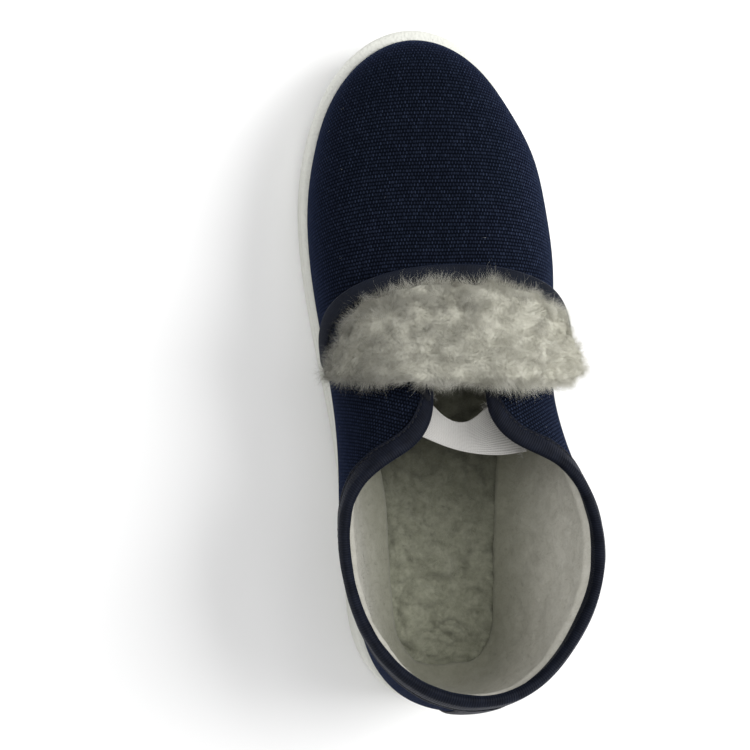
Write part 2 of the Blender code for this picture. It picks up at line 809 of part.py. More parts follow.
def tongue_binding(parts, tree):
    """Tape folded over the tongue's free edge, from one end of the fold to the other."""
    columns = tongue_columns(TONGUE_COLUMNS)
    side = [TONGUE_SIDE * j / 3 for j in range(3)]
    path = [(columns[0], tongue_root(columns[0]) + rise) for rise in side]
    path += [(across, tongue_free(across)) for across in columns]
    path += [(columns[-1], tongue_root(columns[-1]) + rise) for rise in reversed(side)]
    low, high = TONGUE_REST - TONGUE_EASE, TONGUE_REST + TONGUE_CANVAS + TONGUE_EASE
    section = (
        (TONGUE_TAPE, low),
        (0.0006, low),
        (-GAP, low + 0.0005),
        (-GAP, high - 0.0005),
        (0.0006, high),
        (TONGUE_TAPE, high),
    )
    lines = []
    for i, here in enumerate(path):
        before, after = path[max(i - 1, 0)], path[min(i + 1, len(path) - 1)]
        heading = Vector((after[0] - before[0], after[1] - before[1])).normalized()
        inward = Vector((heading.y, -heading.x))
        line = [lay_over(tree, here[0] + inward.x * w, here[1] + inward.y * w, out) for w, out in section]
        lines.append([tuple(point) for point in line])
    tape = surface("tongue_binding", lines, parts)
    thicken(tape, TAPE, 1.0)
    return tape


def pile_height(across, along, inset):
    """Height of the tongue's pile, full at the fold, low at the tape, with lumps."""
    free = tongue_free(across, inset)
    side = (TONGUE_HALF - inset) - abs(across)
    rise = min(max(min(free - along, side) / 0.011, 0.0), 1.0)
    full = PILE_EDGE + (PILE_HEIGHT - PILE_EDGE) * math.sin(math.pi / 2 * rise) ** 0.8
    lump = math.sin(across * 410 + 3.0 * math.sin(along * 230)) * math.sin(along * 520 + 1.3)
    swell = math.sin(across * 170 + 0.6) * math.cos(along * 260 + 0.9)
    return full + rise * (PILE_LUMP * lump + PILE_LUMP * swell)


def tongue_fleece(parts, tree):
    """Fleece on the tongue's upper side, rolled over the fold towards the heel."""
    inset = TONGUE_TAPE + GAP
    base = TONGUE_REST + TONGUE_CANVAS + TONGUE_EASE
    count = 9
    lines = []
    for across in tongue_columns(TONGUE_COLUMNS, inset):
        free = tongue_free(across, inset)
        end = 1 - abs(across) / (TONGUE_HALF - inset)
        roll = FOLD_OVERHANG * (0.45 + 0.55 * math.sin(math.pi / 2 * min(1.0, end / 0.35)))
        fold = tongue_root(across)
        root = fold - GAP
        crown = pile_height(across, fold, inset)
        section = [(free + (root - free) * j / 6, base) for j in range(7)] + [(root, TONGUE_REST)]
        section += [
            (root - roll * 0.55, TONGUE_REST),
            (root - roll * 0.95, TONGUE_REST + crown * 0.35),
            (root - roll, base + crown * 0.45),
            (root - roll * 0.62, base + crown * 0.86),
        ]
        for j in range(count + 1):
            along = fold + (free - fold) * j / count
            section.append((along, base + pile_height(across, along, inset)))
        line = [lay_over(tree, across, along, out) for along, out in section]
        lines.append([tuple(point) for point in line])
    return loft("tongue_fleece", lines, parts)


def centre(things):
    """Moves every piece so that the shoe's box stands centred on the origin."""
    bpy.context.view_layer.update()
    depsgraph = bpy.context.evaluated_depsgraph_get()
    points = [vert.co.copy() for thing in things for vert in thing.evaluated_get(depsgraph).to_mesh().vertices]
    low = Vector([min(point[k] for point in points) for k in range(3)])
    high = Vector([max(point[k] for point in points) for k in range(3)])
    shift = Vector((-(low.x + high.x) / 2, -(low.y + high.y) / 2, -low.z))
    for thing in things:
        thing.data.transform(Matrix.Translation(shift))


def build():
    for thing in list(bpy.data.objects):
        bpy.data.objects.remove(thing)
    parts = bpy.data.collections.new("antistatic_shoe")
    cutters = bpy.data.collections.new("cutters")
    for collection in (parts, cutters):
        bpy.context.scene.collection.children.link(collection)
    sole = outsole(parts, cutters)
    footbed = insole(parts)
    shell = upper(parts)
    binding = collar_binding(parts)
    stay = heel_stay(parts)
    band = elastic(parts, shell, binding)
    tree = tree_of(shell, extra=throat_patches())
    flap = tongue(parts, tree)
    flap_tape = tongue_binding(parts, tree)
    pile = tongue_fleece(parts, tree)
    slots = (
        (sole, "moulded_sole"),
        (footbed, "insole_fleece"),
        (shell, "canvas_upper"),
        (binding, "collar_tape"),
        (stay, "heel_tape"),
        (band, "white_elastic"),
        (flap, "tongue_canvas"),
        (flap_tape, "tongue_tape"),
        (pile, "tongue_pile"),
    )
    for thing, name in slots:
        thing.data.materials.clear()
        thing.data.materials.append(material(name))
    centre([thing for thing, name in slots])


build()
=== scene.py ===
import math

import bpy
import numpy as np
from mathutils import Matrix, Vector, noise
from mathutils.bvhtree import BVHTree


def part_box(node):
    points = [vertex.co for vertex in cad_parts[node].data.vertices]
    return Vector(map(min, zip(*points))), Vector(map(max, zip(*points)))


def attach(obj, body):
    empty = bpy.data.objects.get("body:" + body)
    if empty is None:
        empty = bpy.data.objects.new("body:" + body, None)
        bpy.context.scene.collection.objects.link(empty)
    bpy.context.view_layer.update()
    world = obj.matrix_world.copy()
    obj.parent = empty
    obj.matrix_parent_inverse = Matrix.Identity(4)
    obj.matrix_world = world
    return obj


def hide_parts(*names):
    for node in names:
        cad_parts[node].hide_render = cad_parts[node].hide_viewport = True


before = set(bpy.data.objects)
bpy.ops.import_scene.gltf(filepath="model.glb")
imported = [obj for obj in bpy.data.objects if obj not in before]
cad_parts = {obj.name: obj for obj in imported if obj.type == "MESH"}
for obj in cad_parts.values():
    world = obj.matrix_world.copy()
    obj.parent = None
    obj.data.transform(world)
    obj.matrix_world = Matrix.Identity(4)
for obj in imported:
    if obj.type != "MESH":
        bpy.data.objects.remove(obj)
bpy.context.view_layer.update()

# Sole wall. The real sole is one moulding of off-white foam: a pebbled wall under a
# smooth lip, with a fine parting groove between them. This ring is laid over the
# solid's side, which keeps the tread and the cup.
MM = 0.001
SOLE_LENGTH = 0.282
BALL_WIDTH = 0.102
SOLE_EDGE = (
    (0.020, 0.000), (0.225, 0.023), (0.322, 0.075), (0.352, 0.160), (0.368, 0.270), (0.402, 0.390),
    (0.452, 0.505), (0.492, 0.610), (0.497, 0.705), (0.457, 0.800), (0.370, 0.889), (0.236, 0.960),
    (0.060, 0.996), (-0.070, 0.999), (-0.236, 0.974), (-0.374, 0.919), (-0.462, 0.838), (-0.497, 0.740),
    (-0.484, 0.640), (-0.437, 0.525), (-0.382, 0.405), (-0.345, 0.280), (-0.337, 0.160), (-0.296, 0.072),
    (-0.190, 0.021),
)


class ClosedCurve:
    """Smooth closed curve through points, at places from 0 to 1 round it."""

    def __init__(self, places, points):
        self.places = np.append(places, places[0] + 1.0)
        self.points = np.vstack([points, points[:1]])
        steps = np.diff(self.places)
        count = len(steps)
        system = np.zeros((count, count))
        right = np.zeros((count, self.points.shape[1]))
        slopes = np.diff(self.points, axis=0) / steps[:, None]
        for i in range(count):
            system[i, i - 1] += steps[i - 1]
            system[i, i] += 2 * (steps[i - 1] + steps[i])
            system[i, (i + 1) % count] += steps[i]
            right[i] = 6 * (slopes[i] - slopes[i - 1])
        bends = np.linalg.solve(system, right)
        self.bends = np.vstack([bends, bends[:1]])

    def at(self, place):
        place = (np.asarray(place, float) - self.places[0]) % 1.0 + self.places[0]
        i = np.clip(np.searchsorted(self.places, place, "right") - 1, 0, len(self.places) - 2)
        step = (self.places[i + 1] - self.places[i])[..., None]
        b = (place - self.places[i])[..., None] / step
        a = 1.0 - b
        bend = (a**3 - a) * self.bends[i] + (b**3 - b) * self.bends[i + 1]
        return a * self.points[i] + b * self.points[i + 1] + bend * step**2 / 6


edge_points = np.array(SOLE_EDGE) * (BALL_WIDTH, SOLE_LENGTH)
edge_chords = np.linalg.norm(np.roll(edge_points, -1, axis=0) - edge_points, axis=1)
SOLE_CURVE = ClosedCurve(np.concatenate([[0.0], np.cumsum(edge_chords)[:-1]]) / edge_chords.sum(), edge_points)
# The solids stand centred on the origin; the curves above start at the heel.
SHIFT = np.append(np.array(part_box("outsole")[0][:2]) - SOLE_CURVE.at(np.arange(72) / 72).min(axis=0), 0.0)


def unit(vectors):
    return vectors / np.maximum(np.linalg.norm(vectors, axis=-1, keepdims=True), 1e-9)


def outward(place):
    """Unit vector away from the foot at a place on the sole's edge."""
    along = SOLE_CURVE.at(place + 0.002) - SOLE_CURVE.at(place - 0.002)
    return unit(np.stack([along[..., 1], -along[..., 0]], axis=-1))


def eased(share):
    share = np.clip(share, 0.0, 1.0)
    return share * share * (3 - 2 * share)


def sole_lift(y):
    """Height of the tread above the floor: a low arch, then the toe spring."""
    along = y / SOLE_LENGTH
    arch = np.clip((along - 0.24) / 0.36, 0.0, 1.0)
    spring = np.clip((along - 0.70) / 0.30, 0.0, None)
    return 0.0015 * np.sin(np.pi * arch) ** 2 + 0.009 * spring**1.8


def sole_height(y):
    """Height of the sole's side, which is tallest at the heel."""
    along = y / SOLE_LENGTH
    rear = 0.029 + (0.0245 - 0.029) * eased((along - 0.12) / 0.30)
    middle = rear + (0.022 - rear) * eased((along - 0.36) / 0.26)
    return middle + (0.0215 - middle) * eased((along - 0.75) / 0.20)


def sole_ledge(place):
    """Width of the sole's top edge that shows round the upper."""
    return 0.0034 + (0.0056 - 0.0034) * np.exp(-((((place % 1.0) - 0.5) / 0.10) ** 2))


def edit_all():
    """Opens the active object for editing, with all of it selected."""
    bpy.ops.object.mode_set(mode="EDIT")
    bpy.ops.mesh.select_all(action="SELECT")


def wrap_grid(name, points, uv=None):
    """A grid whose corners are laid at the given places, with its seams closed."""
    rows, columns = points.shape[:2]
    bpy.ops.object.select_all(action="DESELECT")
    bpy.ops.mesh.primitive_grid_add(x_subdivisions=columns - 1, y_subdivisions=rows - 1, size=0.1)
    piece = bpy.context.object
    piece.name = piece.data.name = name
    piece.data.vertices.foreach_set("co", points.reshape(-1))
    layer = piece.data.uv_layers[0]
    layer.name = "cloth"
    if uv is not None:
        corner = np.empty(len(piece.data.loops), dtype=np.int64)
        piece.data.loops.foreach_get("vertex_index", corner)
        layer.data.foreach_set("uv", uv.reshape(-1, 2)[corner].reshape(-1))
    edit_all()
    bpy.ops.mesh.remove_doubles(threshold=2e-6)
    bpy.ops.mesh.normals_make_consistent(inside=False)
    bpy.ops.object.mode_set(mode="OBJECT")
    bpy.ops.object.shade_smooth()
    return piece


def new_material(name, colour, roughness, sockets=None):
    """A material with its node tree and shader; sockets holds more of the shader's values."""
    made = bpy.data.materials.new(name)
    made.use_nodes = True
    shader = made.node_tree.nodes["Principled BSDF"]
    shader.inputs["Base Color"].default_value = (*colour, 1.0)
    shader.inputs["Roughness"].default_value = roughness
    for socket, value in (sockets or {}).items():
        shader.inputs[socket].default_value = value
    return made, made.node_tree, shader


def add_node(tree, kind, inputs=None, **settings):
    """A shader node with its settings and inputs; an input may be another's output."""
    node = tree.nodes.new(kind)
    for key, value in settings.items():
        setattr(node, key, value)
    for key, value in (inputs or {}).items():
        if isinstance(value, bpy.types.NodeSocket):
            tree.links.new(value, node.inputs[key])
        else:
            node.inputs[key].default_value = value
    return node


def maths(tree, operation, first, second=0.0, third=0.0):
    node = add_node(tree, "ShaderNodeMath", {0: first, 1: second, 2: third}, operation=operation)
    return node.outputs[0]


def colour_ramp(tree, factor, stops):
    """Colour ramp with the given (place, colour) stops."""
    node = add_node(tree, "ShaderNodeValToRGB", {"Fac": factor})
    ramp = node.color_ramp
    while len(ramp.elements) < len(stops):
        ramp.elements.new(0.5)
    for element, (place, colour) in zip(ramp.elements, stops):
        element.position = place
        element.color = (*colour, 1.0)
    return node.outputs[0]


def object_place(tree):
    """The piece's own coordinates, in metres."""
    return add_node(tree, "ShaderNodeTexCoord").outputs["Object"]


def grain(tree, place, scale, detail, output="Fac"):
    """Noise texture read at a place."""
    return add_node(tree, "ShaderNodeTexNoise", {"Vector": place, "Scale": scale, "Detail": detail}).outputs[output]


def show(tree, shader, tint, relief=None, strength=0.0, distance=0.0):
    """Gives the shader its colour and, where there is one, its relief."""
    tree.links.new(tint, shader.inputs["Base Color"])
    if relief is not None:
        bump = add_node(tree, "ShaderNodeBump", {"Strength": strength, "Distance": distance, "Height": relief})
        tree.links.new(bump.outputs["Normal"], shader.inputs["Normal"])


def dress(piece, material, slot, *nodes):
    """Gives a finished piece its material, body and the solids it stands for; slot is not used."""
    piece.data.materials.clear()
    piece.data.materials.append(material)
    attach(piece, "root")
    if nodes:
        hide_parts(*nodes)


PROUD = 0.25 * MM
WALL_PROFILE = (
    # inset, share of the side's height, added height, in metres
    (0.0070, 0.0, 0.0006), (0.0036, 0.0, 0.0002), (0.0026, 0.0, 0.00006), (0.0016, 0.0, 0.00024),
    (0.0008, 0.0, 0.0008), (0.0002, 0.0, 0.0016), (0.0000, 0.0, 0.0028), (0.00005, 0.25, 0.0014),
    (0.0002, 0.5, 0.0), (0.0004, 0.72, -0.0008), (0.0007, 1.0, -0.0082), (0.0008, 1.0, -0.0077),
    (0.0012, 1.0, -0.0074), (0.0019, 1.0, -0.0070), (0.0012, 1.0, -0.0065), (0.0004, 1.0, -0.0062),
    (0.0001, 1.0, -0.0056), (0.0000, 1.0, -0.0044), (0.0001, 1.0, -0.0032), (0.0003, 1.0, -0.0024),
    (0.0008, 1.0, -0.0016), (0.0014, 1.0, -0.0009), (0.0022, 1.0, -0.0005),
)
LEDGE_PROFILE = (
    # share of the ledge's width, added height, in metres
    (0.70, -0.0002), (0.84, 0.0), (0.91, -0.0007), (0.95, -0.0026), (1.10, -0.0040), (0.95, -0.0062),
)
BURR_PLACE, BURR_SPREAD, BURR_HEIGHT = 0.499, 0.0022, 0.0006
round_places = np.linspace(0.0, 1.0, 433)
wall_rows = []
for inset, share, added in WALL_PROFILE:
    flat = SOLE_CURVE.at(round_places) - outward(round_places) * (inset - PROUD)
    height = share * sole_height(flat[:, 1]) + added + sole_lift(flat[:, 1])
    wall_rows.append(np.column_stack([flat, height]))
# A small burr stands on the ledge at the toe, where the mould closed.
burr = BURR_HEIGHT * np.exp(-(((round_places - BURR_PLACE) / BURR_SPREAD) ** 2))
for part, added in LEDGE_PROFILE:
    flat = SOLE_CURVE.at(round_places) - outward(round_places) * (sole_ledge(round_places) * part)[:, None]
    height = sole_height(flat[:, 1]) + added + sole_lift(flat[:, 1]) + burr * (added > -0.001)
    wall_rows.append(np.column_stack([flat, height]))
wall_rows.append(wall_rows[0])
sole_wall = wrap_grid("sole_wall", np.array(wall_rows) + SHIFT)

sole_foam, tree, shader = new_material("off_white_sole_foam", (0.74, 0.745, 0.69), 0.55)
place = object_place(tree)
pebble = add_node(tree, "ShaderNodeTexVoronoi", {"Vector": place, "Scale": 900.0}, feature="SMOOTH_F1")
relief = maths(tree, "MULTIPLY_ADD", grain(tree, place, 260.0, 4.0), 0.7, pebble.outputs["Distance"])
tint = colour_ramp(tree, grain(tree, place, 22.0, 5.0), ((0.30, (0.69, 0.695, 0.635)), (0.70, (0.79, 0.795, 0.74))))
show(tree, shader, tint, relief, 0.6, 0.0007)
dress(sole_wall, sole_foam, "moulded_sole")
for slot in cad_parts["outsole"].material_slots:
    slot.material = sole_foam

# Upper. Coarse navy canvas, woven with thick weft threads, lasted over the foot and
# stitched down into the cup of the sole. Vamp and quarters are one skin here.
COLLAR_HEIGHT = 0.092
UPPER_WALL = 0.0048
CANVAS = 0.0013
CUP_DEPTH = 0.0067
OPENING = (
    (0.000, 0.050, 0.041, 1.000), (0.045, 0.285, 0.066, 0.990), (0.085, 0.440, 0.126, 0.970),
    (0.130, 0.532, 0.200, 0.945), (0.165, 0.540, 0.262, 0.925), (0.205, 0.475, 0.330, 0.905),
    (0.240, 0.350, 0.368, 0.890), (0.268, 0.215, 0.394, 0.880), (0.290, 0.150, 0.427, 0.865),
    (0.312, 0.138, 0.458, 0.848), (0.400, 0.085, 0.476, 0.835), (0.500, 0.030, 0.479, 0.832),
    (0.600, -0.030, 0.476, 0.835), (0.690, -0.078, 0.456, 0.848), (0.712, -0.092, 0.425, 0.865),
    (0.735, -0.150, 0.392, 0.880), (0.762, -0.265, 0.366, 0.890), (0.795, -0.385, 0.330, 0.900),
    (0.835, -0.440, 0.270, 0.920), (0.873, -0.425, 0.200, 0.945), (0.915, -0.350, 0.128, 0.970),
    (0.957, -0.190, 0.068, 0.990),
)
WALL_CURVE = (
    (0.000, 0.030, 0.220, 0.30, 0.020, 0.520), (0.085, 0.055, 0.220, 0.70, 0.030, 0.500),
    (0.150, 0.075, 0.220, 0.80, 0.020, 0.460), (0.225, 0.110, 0.240, 0.60, 0.060, 0.470),
    (0.290, 0.120, 0.290, 0.25, 0.020, 0.540), (0.350, 0.100, 0.290, 0.28, 0.000, 0.520),
    (0.420, 0.070, 0.270, 0.34, 0.000, 0.430), (0.500, 0.035, 0.250, 0.40, 0.000, 0.330),
    (0.580, 0.070, 0.270, 0.34, 0.000, 0.430), (0.650, 0.100, 0.290, 0.28, 0.000, 0.520),
    (0.710, 0.110, 0.290, 0.25, 0.020, 0.540), (0.775, 0.100, 0.240, 0.60, 0.050, 0.470),
    (0.850, 0.070, 0.220, 0.80, 0.020, 0.460), (0.920, 0.050, 0.220, 0.70, 0.030, 0.500),
)
OPENING_CURVE = ClosedCurve(
    np.array(OPENING)[:, 0], np.array(OPENING)[:, 1:] * (BALL_WIDTH, SOLE_LENGTH, COLLAR_HEIGHT)
)
WALL_SHAPE = ClosedCurve(np.array(WALL_CURVE)[:, 0], np.array(WALL_CURVE)[:, 1:])


def sole_top(y):
    """Height of the sole's top edge above the floor."""
    return sole_lift(y) + sole_height(y)


def canvas_curve(place, up):
    """Points of the canvas: up is 0 on the sole's top and 1 on the opening's edge."""
    place, up = np.broadcast_arrays(np.asarray(place, float), np.asarray(up, float))
    away = np.concatenate([outward(place), np.zeros(place.shape + (1,))], axis=-1)
    flat = SOLE_CURVE.at(place) - away[..., :2] * sole_ledge(place)[..., None]
    base = sole_top(flat[..., 1])
    start = np.concatenate([flat, base[..., None]], axis=-1)
    rim = OPENING_CURVE.at(place)
    shape = WALL_SHAPE.at(place)
    low = start + away * shape[..., 0:1] * BALL_WIDTH
    low[..., 2] += shape[..., 1] * COLLAR_HEIGHT
    high = start + (rim - start) * shape[..., 2:3] + away * shape[..., 3:4] * BALL_WIDTH
    high[..., 2] = base + shape[..., 4] * COLLAR_HEIGHT
    up = up[..., None]
    risen = np.clip(up, 0.0, 1.0)
    left = 1 - risen
    made = left**3 * start + 3 * left**2 * risen * low + 3 * left * risen**2 * high + risen**3 * rim
    made[..., 2] += np.minimum(up[..., 0], 0.0) * CUP_DEPTH
    return made


def canvas_normal(place, up):
    """Unit vectors out of the canvas."""
    place, up = np.broadcast_arrays(np.asarray(place, float), np.asarray(up, float))
    around = canvas_curve(place + 0.004, np.maximum(up, 0)) - canvas_curve(place - 0.004, np.maximum(up, 0))
    rising = canvas_curve(place, np.clip(up + 0.004, 0, 1)) - canvas_curve(place, np.clip(up - 0.004, 0, 1))
    rising[up < 0] = (0.0, 0.0, 1.0)
    return unit(np.cross(around, rising))


def canvas_at(place, up, out=0.0):
    """Points beside the canvas in the row's frame, out metres away from the foot."""
    place, up, out = np.broadcast_arrays(place, up, out)
    point = canvas_curve(place, up) + canvas_normal(place, up) * out[..., None]
    return point + SHIFT


def share_for(place, distance):
    """How far up the wall, from 0 to 1, lies a point that is distance from the edge."""
    place = np.asarray(place, float)
    rim = canvas_curve(place, 1.0)
    low, high = np.zeros(place.shape), np.ones(place.shape)
    for _ in range(22):
        middle = (low + high) / 2
        far = np.linalg.norm(canvas_curve(place, middle) - rim, axis=-1) > distance
        low, high = np.where(far, middle, low), np.where(far, high, middle)
    return (low + high) / 2


# Soft dents and swells of the canvas. Columns: x, y and z of the
# middle, spread, height, in millimetres.
CANVAS_SWELLS = (
    (-28, 30, 56, 16, -0.5), (24, 42, 56, 18, -0.45), (-6, 78, 52, 14, 0.35), (-34, -10, 62, 11, -0.7),
    (38, -12, 62, 12, -0.7), (-30, -66, 55, 20, 0.6), (42, -60, 55, 18, 0.7), (48, -86, 60, 13, -0.7),
    (-34, -96, 60, 14, -0.5), (8, -128, 60, 16, 0.5), (20, 96, 44, 12, -0.35), (-24, 84, 46, 12, -0.35),
    (40, 84, 34, 20, 1.6), (-38, 84, 34, 14, -0.6),
)


def swelled(points, normals):
    """Adds the dents and swells to points of the canvas."""
    rise = np.zeros(points.shape[:-1])
    for x, y, z, spread, height in CANVAS_SWELLS:
        distance = np.linalg.norm(points - np.array((x, y, z)) * MM, axis=-1)
        rise += height * MM * np.exp(-((distance / (spread * MM)) ** 2))
    return points + normals * rise[..., None]


CANVAS_COLUMNS = 385
canvas_places = np.linspace(0.0, 1.0, CANVAS_COLUMNS)
canvas_ups = np.concatenate([[-0.8, -0.4], np.linspace(0.0, 1.0, 44) ** 1.1])
place_grid, up_grid = np.meshgrid(canvas_places, canvas_ups)
canvas_out = canvas_at(place_grid, up_grid)
canvas_outward = canvas_normal(place_grid, up_grid)
canvas_out = swelled(canvas_out, canvas_outward)
canvas_in = canvas_out - canvas_outward * CANVAS

# The weave follows the cloth: across and along the vamp, and round the quarters.
canvas_corners = canvas_out.reshape(-1, 3)
canvas_quads = [
    (first, first + 1, first + CANVAS_COLUMNS + 1, first + CANVAS_COLUMNS)
    for r in range(len(canvas_ups) - 1)
    for first in range(r * CANVAS_COLUMNS, (r + 1) * CANVAS_COLUMNS - 1)
]
canvas_tree = BVHTree.FromPolygons([tuple(p) for p in canvas_corners], canvas_quads)
# A rough map of the vamp: how far its skin lies from an axis in the foot, by turn and y.
GIRTH_AXIS = (0.0, 0.022)
GIRTH_ROWS, GIRTH_TURNS = 60, 81
RAY = 0.2  # rays start this far outside, in metres
girth_turns = np.radians(np.linspace(-100, 100, GIRTH_TURNS))
girth_along = np.linspace(-0.012, 0.133, GIRTH_ROWS)
girth_reach = np.zeros((GIRTH_ROWS, GIRTH_TURNS))
for i, y in enumerate(girth_along):
    for j, turn in enumerate(girth_turns):
        away = Vector((math.sin(turn), 0.0, math.cos(turn)))
        axis = Vector((GIRTH_AXIS[0], y, GIRTH_AXIS[1]))
        hit = canvas_tree.ray_cast(axis + away * RAY, -away)[0]
        girth_reach[i, j] = (hit - axis).length if hit is not None else np.nan
    known = ~np.isnan(girth_reach[i])
    girth_reach[i] = np.interp(girth_turns, girth_turns[known], girth_reach[i][known]) if known.any() else 0.02
arc = np.hypot(girth_reach[:, 1:] + girth_reach[:, :-1], 2 * np.diff(girth_reach, axis=1) / np.diff(girth_turns))
girth_arc = np.pad(np.cumsum(arc / 2 * np.diff(girth_turns), axis=1), ((0, 0), (1, 0)))
girth_arc -= girth_arc[:, GIRTH_TURNS // 2, None]
ridge = girth_reach[:, GIRTH_TURNS // 2]
ridge_arc = np.concatenate([[0.0], np.cumsum(np.hypot(np.diff(girth_along), np.diff(ridge)))])


def vamp_cloth(points):
    """Place on the cloth of the vamp: metres across and metres along."""
    turn = np.arctan2(points[..., 0] - GIRTH_AXIS[0], points[..., 2] - GIRTH_AXIS[1])
    row = (points[..., 1] - girth_along[0]) / (girth_along[1] - girth_along[0])
    column = (turn - girth_turns[0]) / (girth_turns[1] - girth_turns[0])
    row, column = np.clip(row, 0, GIRTH_ROWS - 1.001), np.clip(column, 0, GIRTH_TURNS - 1.001)
    i, j = row.astype(int), column.astype(int)
    a, b = row - i, column - j
    across = (girth_arc[i, j] * (1 - b) + girth_arc[i, j + 1] * b) * (1 - a)
    across += (girth_arc[i + 1, j] * (1 - b) + girth_arc[i + 1, j + 1] * b) * a
    along = np.interp(points[..., 1], girth_along, ridge_arc) + 1.5 * across**2
    return np.stack([across, along], axis=-1)


def run_along(points):
    """Distance run along a line of points."""
    return np.concatenate([[0.0], np.cumsum(np.linalg.norm(np.diff(points, axis=0), axis=1))])


def quarter_cloth(points, places):
    """Place on the cloth of the quarters: metres up and metres round the heel."""
    rise = np.linalg.norm(np.diff(points, axis=0), axis=-1)
    height = np.concatenate([np.zeros((1, points.shape[1])), np.cumsum(rise, axis=0)], axis=0)
    round_sole = np.linspace(0, 1, 2001)
    round_heel = np.interp(places % 1.0, round_sole, run_along(SOLE_CURVE.at(round_sole)))
    return np.stack([height, np.broadcast_to(round_heel, height.shape)], axis=-1)


def placed(name, data):
    """An object with the given data, put into the scene."""
    made = bpy.data.objects.new(name, data)
    bpy.context.scene.collection.objects.link(made)
    return made


def opened_flat(chosen, target):
    """Cloth places of one panel: its quads opened flat, then turned to lie along the target."""
    quads = np.array(canvas_quads)[chosen]
    used, numbers = np.unique(quads, return_inverse=True)
    sheet = bpy.data.meshes.new("panel")
    sheet.from_pydata(canvas_corners[used], [], numbers.reshape(quads.shape).tolist())
    sheet.uv_layers.new(name="flat")
    panel = placed("panel", sheet)
    bpy.ops.object.select_all(action="DESELECT")
    panel.select_set(True)
    bpy.context.view_layer.objects.active = panel
    edit_all()
    bpy.ops.uv.unwrap(method="ANGLE_BASED", margin=0.0)
    bpy.ops.object.mode_set(mode="OBJECT")
    places, owners = np.zeros(len(sheet.loops) * 2), np.zeros(len(sheet.loops), int)
    sheet.uv_layers[0].uv.foreach_get("vector", places)
    sheet.loops.foreach_get("vertex_index", owners)
    bpy.data.objects.remove(panel)
    flat = np.zeros((len(used), 2))
    flat[owners] = places.reshape(-1, 2)
    flat = flat[:, 0] + 1j * flat[:, 1]
    goal = target.reshape(-1, 2)[used]
    goal = goal[:, 0] + 1j * goal[:, 1]
    flat, middle = flat - flat.mean(), goal.mean()
    fits = [(np.conj(way) * (goal - middle)).sum() for way in (flat, np.conj(flat))]
    if abs(fits[1]) > abs(fits[0]):
        flat, fits[0] = np.conj(flat), fits[1]
    edges = numbers.reshape(quads.shape)
    real = np.linalg.norm(canvas_corners[quads[:, 0]] - canvas_corners[quads[:, 1]], axis=1)
    scale = np.median(real / np.abs(flat[edges[:, 0]] - flat[edges[:, 1]]))
    flat = flat * scale * fits[0] / abs(fits[0]) + middle
    return used, np.column_stack([flat.real, flat.imag])


# The vamp and each quarter are panels of their own, joined along a line across the foot.
cloth = vamp_cloth(canvas_out)
quarters = quarter_cloth(canvas_out, canvas_places)
SEAM_ALONG = -0.0045
PANEL_LAP = 0.004
behind = canvas_out[..., 1] < SEAM_ALONG
cloth[behind] = quarters[behind]
quad_along = canvas_corners[np.array(canvas_quads)][..., 1]
quad_column = np.arange(len(canvas_quads)) % (CANVAS_COLUMNS - 1)
quarter_quads = quad_along.max(axis=1) < SEAM_ALONG + PANEL_LAP
vamp_quads = quad_along.min(axis=1) > SEAM_ALONG - PANEL_LAP
for chosen, target, side in (
    (quarter_quads & (quad_column < CANVAS_COLUMNS // 2), quarters, -1),
    (quarter_quads & (quad_column >= CANVAS_COLUMNS // 2), quarters, -1),
    (vamp_quads, vamp_cloth(canvas_out), 1),
):
    used, places = opened_flat(chosen, target)
    own = (canvas_corners[used, 1] - SEAM_ALONG) * side >= 0
    cloth.reshape(-1, 2)[used[own]] = places[own]
skin = np.concatenate([canvas_out, canvas_in[::-1], canvas_out[:1]])
skin_cloth = np.concatenate([cloth, cloth[::-1], cloth[:1]])
upper_canvas = wrap_grid("upper_canvas", skin, skin_cloth)


def mixed(tree, blend, share, first, second):
    inputs = {"Fac": share, "Color1": first, "Color2": second}
    return add_node(tree, "ShaderNodeMixRGB", inputs, blend_type=blend).outputs[0]


def shaded(tree, tint, place, axis, places, shades):
    """A colour multiplied by painted light and shade that changes between two places on an axis."""
    here = add_node(tree, "ShaderNodeSeparateXYZ", {"Vector": place}).outputs[axis]
    shade = add_node(tree, "ShaderNodeMapRange", {0: here, 1: places[0], 2: places[1], 3: shades[0], 4: shades[1]})
    return mixed(tree, "MULTIPLY", 1.0, tint, shade.outputs[0])


def ridges(tree, along, pace):
    """Sine ridges that turn by pace radians for each unit of along."""
    return maths(tree, "SINE", maths(tree, "MULTIPLY", along, pace))


